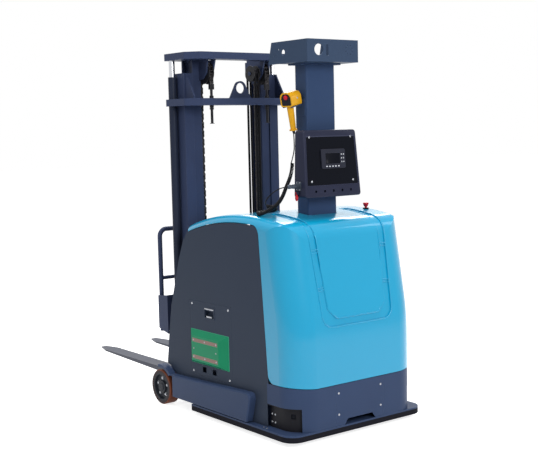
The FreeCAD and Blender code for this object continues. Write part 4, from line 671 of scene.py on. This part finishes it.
# rounded ribs that edge the channel in the hood, with bridges across it
def addHoodRibs():
    values = {"radius": 0.0034, "low": 600.0, "halfLow": 241.0, "lean": 0.0503, "corner": 62.0, "width": 40.0,
              "chamfer": 56.0, "off": 2.6, "bridges": (1003.0, 808.0)}
    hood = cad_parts["hood"]

    def onFront(x, z, proud=0.0):
        hit, at, normal, index = hood.ray_cast(place(x, -900, z), (0, 1, 0))
        return at + normal * proud if hit else None

    def overCrest(x):
        # from the channel's end at the seam, over the crest, down to the front
        found = []
        for step in range(13):
            angle = math.radians(88 + step * 7)
            out = Vector((0, math.cos(angle), math.sin(angle)))
            hit, at, normal, index = hood.ray_cast(place(x, 396, 1040) + out * 0.9, -out)
            if hit:
                found.append(at)
        return found

    def sideX(z, outer):
        base = values["halfLow"] + (z - values["low"]) * values["lean"]
        return base + values["off"] if outer else base - values["width"] - values["off"]

    def halfPath(outer):
        low, corner = values["low"] - values["off"], values["corner"]
        points = overCrest(sideX(1170, outer))
        top = min(p.z for p in points) * 1000
        if outer:
            levels = [top - 12 - k * 30 for k in range(60) if top - 12 - k * 30 > low + corner]
            points += [onFront(sideX(z, True), z) for z in levels]
            centreX, centreZ = sideX(low + corner, True) - corner, low + corner
            for k in range(8):
                angle = math.radians(k * 90 / 7)
                points.append(onFront(centreX + corner * math.cos(angle), centreZ - corner * math.sin(angle)))
            points += [onFront(centreX * (1 - k / 8), low) for k in range(1, 9)]
        else:
            sideZ = values["low"] + values["width"] + values["chamfer"] * 0.9
            floorZ = values["low"] + values["width"] * 0.92 + values["off"]
            levels = [top - 12 - k * 30 for k in range(60) if top - 12 - k * 30 > sideZ + 4]
            points += [onFront(sideX(z, False), z) for z in levels]
            edgeX = sideX(sideZ, False)
            points += [onFront(edgeX - values["chamfer"] * k / 4, sideZ - (sideZ - floorZ) * k / 4) for k in range(5)]
            points += [onFront((edgeX - values["chamfer"]) * (1 - k / 8), floorZ) for k in range(1, 9)]
        return [p for p in points if p is not None]

    paths = []
    for outer in (True, False):
        right = halfPath(outer)
        left = [Vector((-p.x, p.y, p.z)) for p in right[:-1]]
        paths.append(right + left[::-1])
    for z in values["bridges"]:
        inner, outer = sideX(z, False), sideX(z, True)
        for side in (-1, 1):
            for drop in (0, 14):
                across = [onFront(side * (inner + (outer - inner) * k / 6), z - drop - k, 0.0004) for k in range(7)]
                paths.append([p for p in across if p is not None])
    made = []
    for path in paths:
        rib = smoothCurve("hoodRib", path, values["radius"])
        rib.data.bevel_resolution = 2
        rib.data.splines[0].resolution_u = 3
        made.append(rib)
    choose(made)
    bpy.ops.object.convert(target="MESH")
    bpy.ops.object.join()
    finishPiece(started("hoodRibs"), "hoodGloss", "chassis", 60)


addHoodRibs()
print("hood ribs done")


# control box shell with rounded corners, window recess, sound ports and the switch yoke
def addControlBox():
    values = {"low": 1262.0, "high": 1622.0, "halfLow": 198.0, "halfTop": 185.0, "frontLow": 185.0, "frontTop": 213.0,
              "back": 280.0, "corner": 0.017, "rim": 0.007, "windowLow": 1328.0, "windowHigh": 1600.0,
              "windowDepth": 4.0, "marginLow": 19.0, "marginTop": 17.0, "windowCorner": 0.006,
              "portRadius": 0.008, "portZ": 1295.0, "portFirst": -124.0, "portStep": 62.0}
    slope = (values["frontTop"] - values["frontLow"]) / (values["high"] - values["low"])

    def onFront(z):
        return values["frontLow"] + (z - values["low"]) * slope

    def wedge(name, halfLow, halfTop, low, high, near, far):
        # block between two heights whose front leans and whose sides draw in
        bpy.ops.mesh.primitive_cube_add(size=1, location=place(0, (near(low) + far(low)) / 2, (low + high) / 2))
        block = started(name)
        block.scale = (halfLow / 500, (far(low) - near(low)) / 1000, (high - low) / 1000)
        applyPlace(block)
        editWhere(block, lambda v: v.co.z > place(0, 0, (low + high) / 2).z, "VERT")
        bpy.ops.transform.resize(value=(halfTop / halfLow, 1, 1), center_override=place(0, 0, high))
        leaveEdit()
        middle = place(0, (near(low) + far(low)) / 2, 0).y
        for isNear, side in ((True, near), (False, far)):
            editWhere(block, lambda v: v.co.z > place(0, 0, (low + high) / 2).z
                      and (v.co.y < middle) == isNear, "VERT")
            bpy.ops.transform.translate(value=(0, (side(high) - side(low)) / 1000, 0))
            leaveEdit()
        return block

    def alongTruck(edge):
        return abs((edge.verts[0].co - edge.verts[1].co).normalized().y) > 0.9

    def bevelEdges(block, wanted, offset, segments):
        editWhere(block, wanted, "EDGE")
        bpy.ops.mesh.bevel(offset=offset, segments=segments)
        leaveEdit()

    def cut(block, cutter):
        change = block.modifiers.new("cut", "BOOLEAN")
        change.operation = "DIFFERENCE"
        change.solver = "EXACT"
        change.object = cutter
        choose([block])
        bpy.ops.object.modifier_apply(modifier="cut")
        discard(cutter)

    shell = wedge("controlBoxShell", values["halfLow"], values["halfTop"], values["low"], values["high"],
                  onFront, lambda z: values["back"])
    # the four edges that run from front to back, then the rim round the front
    bevelEdges(shell, alongTruck, values["corner"], 5)
    bevelEdges(shell, lambda e: all(abs(v.co.y - place(0, onFront(v.co.z * 1000), 0).y) < 0.0006 for v in e.verts),
               values["rim"], 3)
    window = wedge("windowCutter", values["halfLow"] - values["marginLow"], values["halfTop"] - values["marginTop"],
                   values["windowLow"], values["windowHigh"], lambda z: onFront(z) - 20,
                   lambda z: onFront(z) + values["windowDepth"])
    bevelEdges(window, alongTruck, values["windowCorner"], 3)
    cut(shell, window)
    for k in range(5):
        at = place(values["portFirst"] + values["portStep"] * k, onFront(values["portZ"]) + 3, values["portZ"])
        bpy.ops.mesh.primitive_cylinder_add(vertices=20, radius=values["portRadius"], depth=0.018, location=at,
                                            rotation=(math.pi / 2, 0, 0))
        cut(shell, started("portCutter"))
    yoke = {"x": -208.0, "station": 250.0, "z": 1290.0, "width": 9.0, "ear": 4.0, "pin": 0.003, "round": 0.005}
    parts = [shell]
    for y in (yoke["station"] - yoke["width"] / 2 - 2, yoke["station"] + yoke["width"] / 2 + 2):
        bpy.ops.mesh.primitive_cube_add(size=1, location=place(yoke["x"] + 2.5, y, yoke["z"]))
        ear = started("ear")
        ear.scale = (0.017, yoke["ear"] / 1000, 0.014)
        applyPlace(ear)
        bevelEdges(ear, lambda e: all(v.co.x < place(yoke["x"] - 2, 0, 0).x for v in e.verts) and alongTruck(e),
                   yoke["round"], 4)
        parts.append(ear)
    bpy.ops.mesh.primitive_cylinder_add(vertices=16, radius=yoke["pin"], depth=0.0195,
                                        location=place(yoke["x"], yoke["station"], yoke["z"]),
                                        rotation=(math.pi / 2, 0, 0))
    pin = started("pin")
    editWhere(pin, lambda f: len(f.verts) > 4)
    bpy.ops.mesh.inset(thickness=0.0008, depth=0.0004)
    leaveEdit()
    parts.append(pin)
    finishPiece(joined(parts, "controlBoxShell"), "boxPaint", "chassis", 35)
    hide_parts("control_box")


addControlBox()
print("control box done")


# zinc bars in the recessed latch of the access panel: the lower one is the pull, the upper one is a painted highlight
# along the latch's top edge
def addLatchBars():
    values = {"bars": [(771, 629, 88, 7), (771, 585, 52, 9)], "x": -439.2, "thick": 3.2}
    made = []
    for station, z, long, high in values["bars"]:
        bpy.ops.mesh.primitive_cube_add(size=1, location=place(values["x"], station, z))
        bar = started("latchBar")
        bar.scale = (values["thick"] / 1000, long / 1000, high / 1000)
        applyPlace(bar)
        editWhere(bar, lambda f: f.normal.x < -0.9)
        bpy.ops.mesh.inset(thickness=0.0012, depth=0.0010)
        leaveEdit()
        made.append(bar)
    finishPiece(joined(made, "latchBars"), "zincSteel", "chassis")


addLatchBars()
print("small parts done")


# leaf chain: pitch and plate sizes in metres, strand places and the step between links in mm
chain = {"pitch": 0.0254, "step": 25.4, "plateRadius": 0.0074, "plate": 0.0036, "gap": 0.00385, "waist": 0.74,
         "pinRadius": 0.0032, "width": 0.027, "x": (-204.0, 204.0), "sheave": (1085.0, 1970.0), "radius": 56.0}


def chainPlate(x):
    # one figure-of-eight plate standing on its lower pin
    bpy.ops.mesh.primitive_cylinder_add(vertices=10, radius=chain["plateRadius"], depth=chain["plate"],
                                        location=(0, 0, 0), rotation=(0, math.pi / 2, 0))
    plate = started("plate")
    applyPlace(plate)
    editWhere(plate, lambda v: True, "VERT")
    bpy.ops.transform.rotate(value=math.pi / 10, orient_axis="X", center_override=(0, 0, 0))
    leaveEdit()
    editWhere(plate, lambda v: v.co.z > 0, "VERT")
    bpy.ops.transform.translate(value=(0, 0, chain["pitch"]))
    bpy.ops.mesh.select_all(action="SELECT")
    bpy.ops.mesh.bisect(plane_co=(0, 0, chain["pitch"] / 2), plane_no=(0, 0, 1))
    leaveEdit()
    editWhere(plate, lambda v: abs(v.co.z - chain["pitch"] / 2) < 0.0004, "VERT")
    bpy.ops.transform.resize(value=(1, chain["waist"], 1), center_override=(0, 0, chain["pitch"] / 2))
    leaveEdit()
    plate.location.x = x
    return plate


def chainLink(name, layers):
    plates = [chainPlate(chain["gap"] * i) for i in layers]
    bpy.ops.mesh.primitive_cylinder_add(vertices=8, radius=chain["pinRadius"], depth=chain["width"],
                                        rotation=(0, math.pi / 2, 0))
    pin = started("pin")
    editWhere(pin, lambda f: len(f.verts) > 4)
    bpy.ops.mesh.inset(thickness=0.0008, depth=0)
    leaveEdit()
    link = joined([pin] + plates, name)
    applyPlace(link)
    return link


def straightRun(x, station, low, count, phase):
    return [(phase + k, Matrix.Translation(place(x, station, low + chain["step"] * k))) for k in range(count)]


def chainStrand(name, spots):
    made = []
    for odd, source in ((0, outerLink), (1, innerLink)):
        chosen = [matrix for k, matrix in spots if k % 2 == odd]
        made.append(copiesOf(source, chosen, name))
    return joined(made, name)


def wrapSpots(x):
    station, z = chain["sheave"]
    turns = math.pi * chain["radius"] / chain["step"]
    count = int(turns)
    spots = []
    for k in range(count):
        angle = math.pi * (k + 0.5 * (turns - count)) / turns
        at = place(x, station - chain["radius"] * math.cos(angle), z + chain["radius"] * math.sin(angle))
        lean = -(angle + math.pi / turns / 2)
        spots.append((k, Matrix.Translation(at) @ Matrix.Rotation(lean, 4, "X")))
    return spots


def tuckedHeight(target, low, high, travel):
    # rest height of a point that stands at the target height with the mast fully up
    if target >= high + travel:
        return target - travel
    under, over = low, high
    for step in range(60):
        middle = (under + over) / 2
        t = (middle - low) / (high - low)
        if middle + travel * t * t * (3 - 2 * t) < target:
            under = middle
        else:
            over = middle
    return (under + over) / 2


outerLink, innerLink = chainLink("outerLink", (-3, -1, 1, 3)), chainLink("innerLink", (-2, 0, 2))


def addChains():
    values = {"carriageStation": 1141.0, "carriageLow": 484.0, "carriageLinks": 58, "anchorStation": 1029.0,
              "tuckLow": 1.879, "tuckHigh": 1.903, "travel": 1.4, "keep": 0.0604, "clevis": 1880.0, "topGap": 6.0}
    runs, wraps, anchors = [], [], []
    for x in chain["x"]:
        runs += straightRun(x, values["carriageStation"], values["carriageLow"], values["carriageLinks"], 0)
        wraps += wrapSpots(x)
        top = chain["sheave"][1] + values["travel"] * 1000 - values["topGap"]
        count = int((top - values["clevis"]) / chain["step"])
        anchors += straightRun(x, values["anchorStation"], top - chain["step"] * count, count, 0)
    carriageChains = finishPiece(chainStrand("carriageChains", runs), "chainSteel", "inner_mast")
    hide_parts("carriage_chains")
    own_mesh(carriageChains)
    chainWraps = finishPiece(chainStrand("chainWraps", wraps), "chainSteel", "inner_mast")
    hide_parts("chain_wraps")
    # the anchor run is laid out at full lift, then its spare links are drawn into the clevis
    anchorChains = finishPiece(chainStrand("anchorChains", anchors), "chainSteel", None)
    for vertex in anchorChains.data.vertices:
        vertex.co.z = tuckedHeight(vertex.co.z, values["tuckLow"], values["tuckHigh"], values["travel"])
    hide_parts("anchor_chains")
    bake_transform(anchorChains)
    discard(outerLink)
    discard(innerLink)


addChains()
print("chains done")


# mast hoses: two beside the middle, over their own sheave
hose = {"x": (131.0, 153.0), "radius": 0.0070, "ferrule": 0.0088, "sheave": (1085.0, 1970.0), "bend": 40.0}


def hoseRun(name, station, low, high):
    # a ring drawn upwards, with a crimped ferrule at its foot
    made = []
    for x in hose["x"]:
        bpy.ops.mesh.primitive_circle_add(vertices=16, radius=hose["radius"], location=place(x, station, low),
                                          fill_type="NGON")
        part = started(name)
        applyPlace(part)
        middle = place(x, station, low)

        def drawUp(rise):
            bpy.ops.mesh.extrude_region_move(TRANSFORM_OT_translate={"value": (0, 0, rise)})

        def widen(share):
            bpy.ops.transform.resize(value=(share, share, 1), center_override=middle)

        editWhere(part, lambda f: True)
        done = 0.0
        swell = hose["ferrule"] / hose["radius"]
        widen(swell)
        for rise, share in ((0.004, 1.0), (0.010, 1.0), (0.0008, 0.96), (0.0012, 1.04), (0.010, 1.0),
                            (0.001, 1 / swell)):
            drawUp(rise)
            widen(share)
            done += rise
        rest = (high - low) / 1000 - done
        for k in range(24):
            drawUp(rest / 24)
        bpy.ops.mesh.select_all(action="SELECT")
        bpy.ops.mesh.normals_make_consistent(inside=False)
        leaveEdit()
        made.append(part)
    return joined(made, name)


def hoseWrap(name):
    made = []
    station, z = hose["sheave"]
    for x in hose["x"]:
        bpy.ops.mesh.primitive_circle_add(vertices=16, radius=hose["radius"], fill_type="NGON",
                                          location=place(x, station - hose["bend"], z))
        part = started(name)
        applyPlace(part)
        editWhere(part, lambda f: True)
        bpy.ops.mesh.spin(steps=20, angle=-math.pi, center=place(x, station, z), axis=(1, 0, 0))
        bpy.ops.mesh.select_all(action="SELECT")
        bpy.ops.mesh.remove_doubles(threshold=0.00001)
        bpy.ops.mesh.normals_make_consistent(inside=False)
        leaveEdit()
        made.append(part)
    return joined(made, name)


def addHoses():
    values = {"mastStation": 1045, "mastLow": 1000, "fixed": 1024, "moving": 1969, "carriageStation": 1125,
              "carriageLow": 500, "keep": 0.048}
    top = hose["sheave"][1]
    mastHoses = finishPiece(hoseRun("mastHoses", values["mastStation"], values["mastLow"], top), "hoseRubber", None)
    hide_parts("mast_hoses")
    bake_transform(mastHoses)
    carriageHoses = finishPiece(hoseRun("carriageHoses", values["carriageStation"], values["carriageLow"], top),
                                "hoseRubber", "inner_mast")
    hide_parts("carriage_hoses")
    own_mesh(carriageHoses)
    wraps = finishPiece(hoseWrap("hoseWraps"), "hoseRubber", "inner_mast")
    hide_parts("hose_wraps")


addHoses()
print("hoses done")


# studio
def addLamp(name, at, size, power, aim=(0, 0, 0.9)):
    data = bpy.data.lights.new(name, "AREA")
    data.shape = "RECTANGLE"
    data.size, data.size_y = size
    data.energy = power
    lamp = bpy.data.objects.new(name, data)
    bpy.context.collection.objects.link(lamp)
    lamp.location = at
    lamp.rotation_euler = (Vector(aim) - Vector(at)).to_track_quat("-Z", "Y").to_euler()


addLamp("keyLamp", (-0.7, -5.6, 3.1), (2.2, 1.8), 140, (-0.2, -1.0, 0.9))
addLamp("sideLamp", (-4.8, -0.8, 4.8), (2.6, 3.0), 84)
addLamp("rimLamp", (4.8, -2.6, 3.6), (2.2, 3.0), 68)
addLamp("topLamp", (0, -0.4, 5.6), (3.2, 3.2), 190)
addLamp("backLamp", (3.0, 2.6, 3.9), (3.0, 1.6), 90, (-0.2, -0.6, 1.1))


def whiteMask(tree):
    # 1 for camera, glossy and transmission rays
    path = tree.nodes.new("ShaderNodeLightPath")
    total = path.outputs["Is Camera Ray"]
    for label in ("Is Glossy Ray", "Is Transmission Ray"):
        add = tree.nodes.new("ShaderNodeMath")
        add.operation = "ADD"
        add.use_clamp = True
        tree.links.new(total, add.inputs[0])
        tree.links.new(path.outputs[label], add.inputs[1])
        total = add.outputs["Value"]
    return total


def addWorld(objectLight):
    world = bpy.data.worlds.new("studio")
    bpy.context.scene.world = world
    world.use_nodes = True
    tree = world.node_tree
    level = tree.nodes.new("ShaderNodeMapRange")
    level.inputs["To Min"].default_value = objectLight
    level.inputs["To Max"].default_value = 1.0
    tree.links.new(whiteMask(tree), level.inputs["Value"])
    background = tree.nodes["Background"]
    background.inputs["Color"].default_value = (1, 1, 1, 1)
    tree.links.new(level.outputs["Result"], background.inputs["Strength"])


def addFloor(glow):
    bpy.ops.mesh.primitive_plane_add(size=80, location=(0, 0, 0))
    floor = started("floor")
    mat = makeFinish("paleFloor", {"color": (0.84, 0.84, 0.84), "rough": 0.7, "tint": 0.01, "grain": 20, "depth": 0.0,
                                   "dust": 0.0, "specular": 0.0})
    tree = mat.node_tree
    shader = tree.nodes["Principled BSDF"]
    shader.inputs["Emission Color"].default_value = (1, 1, 1, 1)
    level = tree.nodes.new("ShaderNodeMapRange")
    level.inputs["To Min"].default_value = 0.0
    level.inputs["To Max"].default_value = glow
    tree.links.new(whiteMask(tree), level.inputs["Value"])
    tree.links.new(level.outputs["Result"], shader.inputs["Emission Strength"])
    floor.data.materials.append(mat)


addWorld(0.27)
addFloor(0.80)
print("studio done")
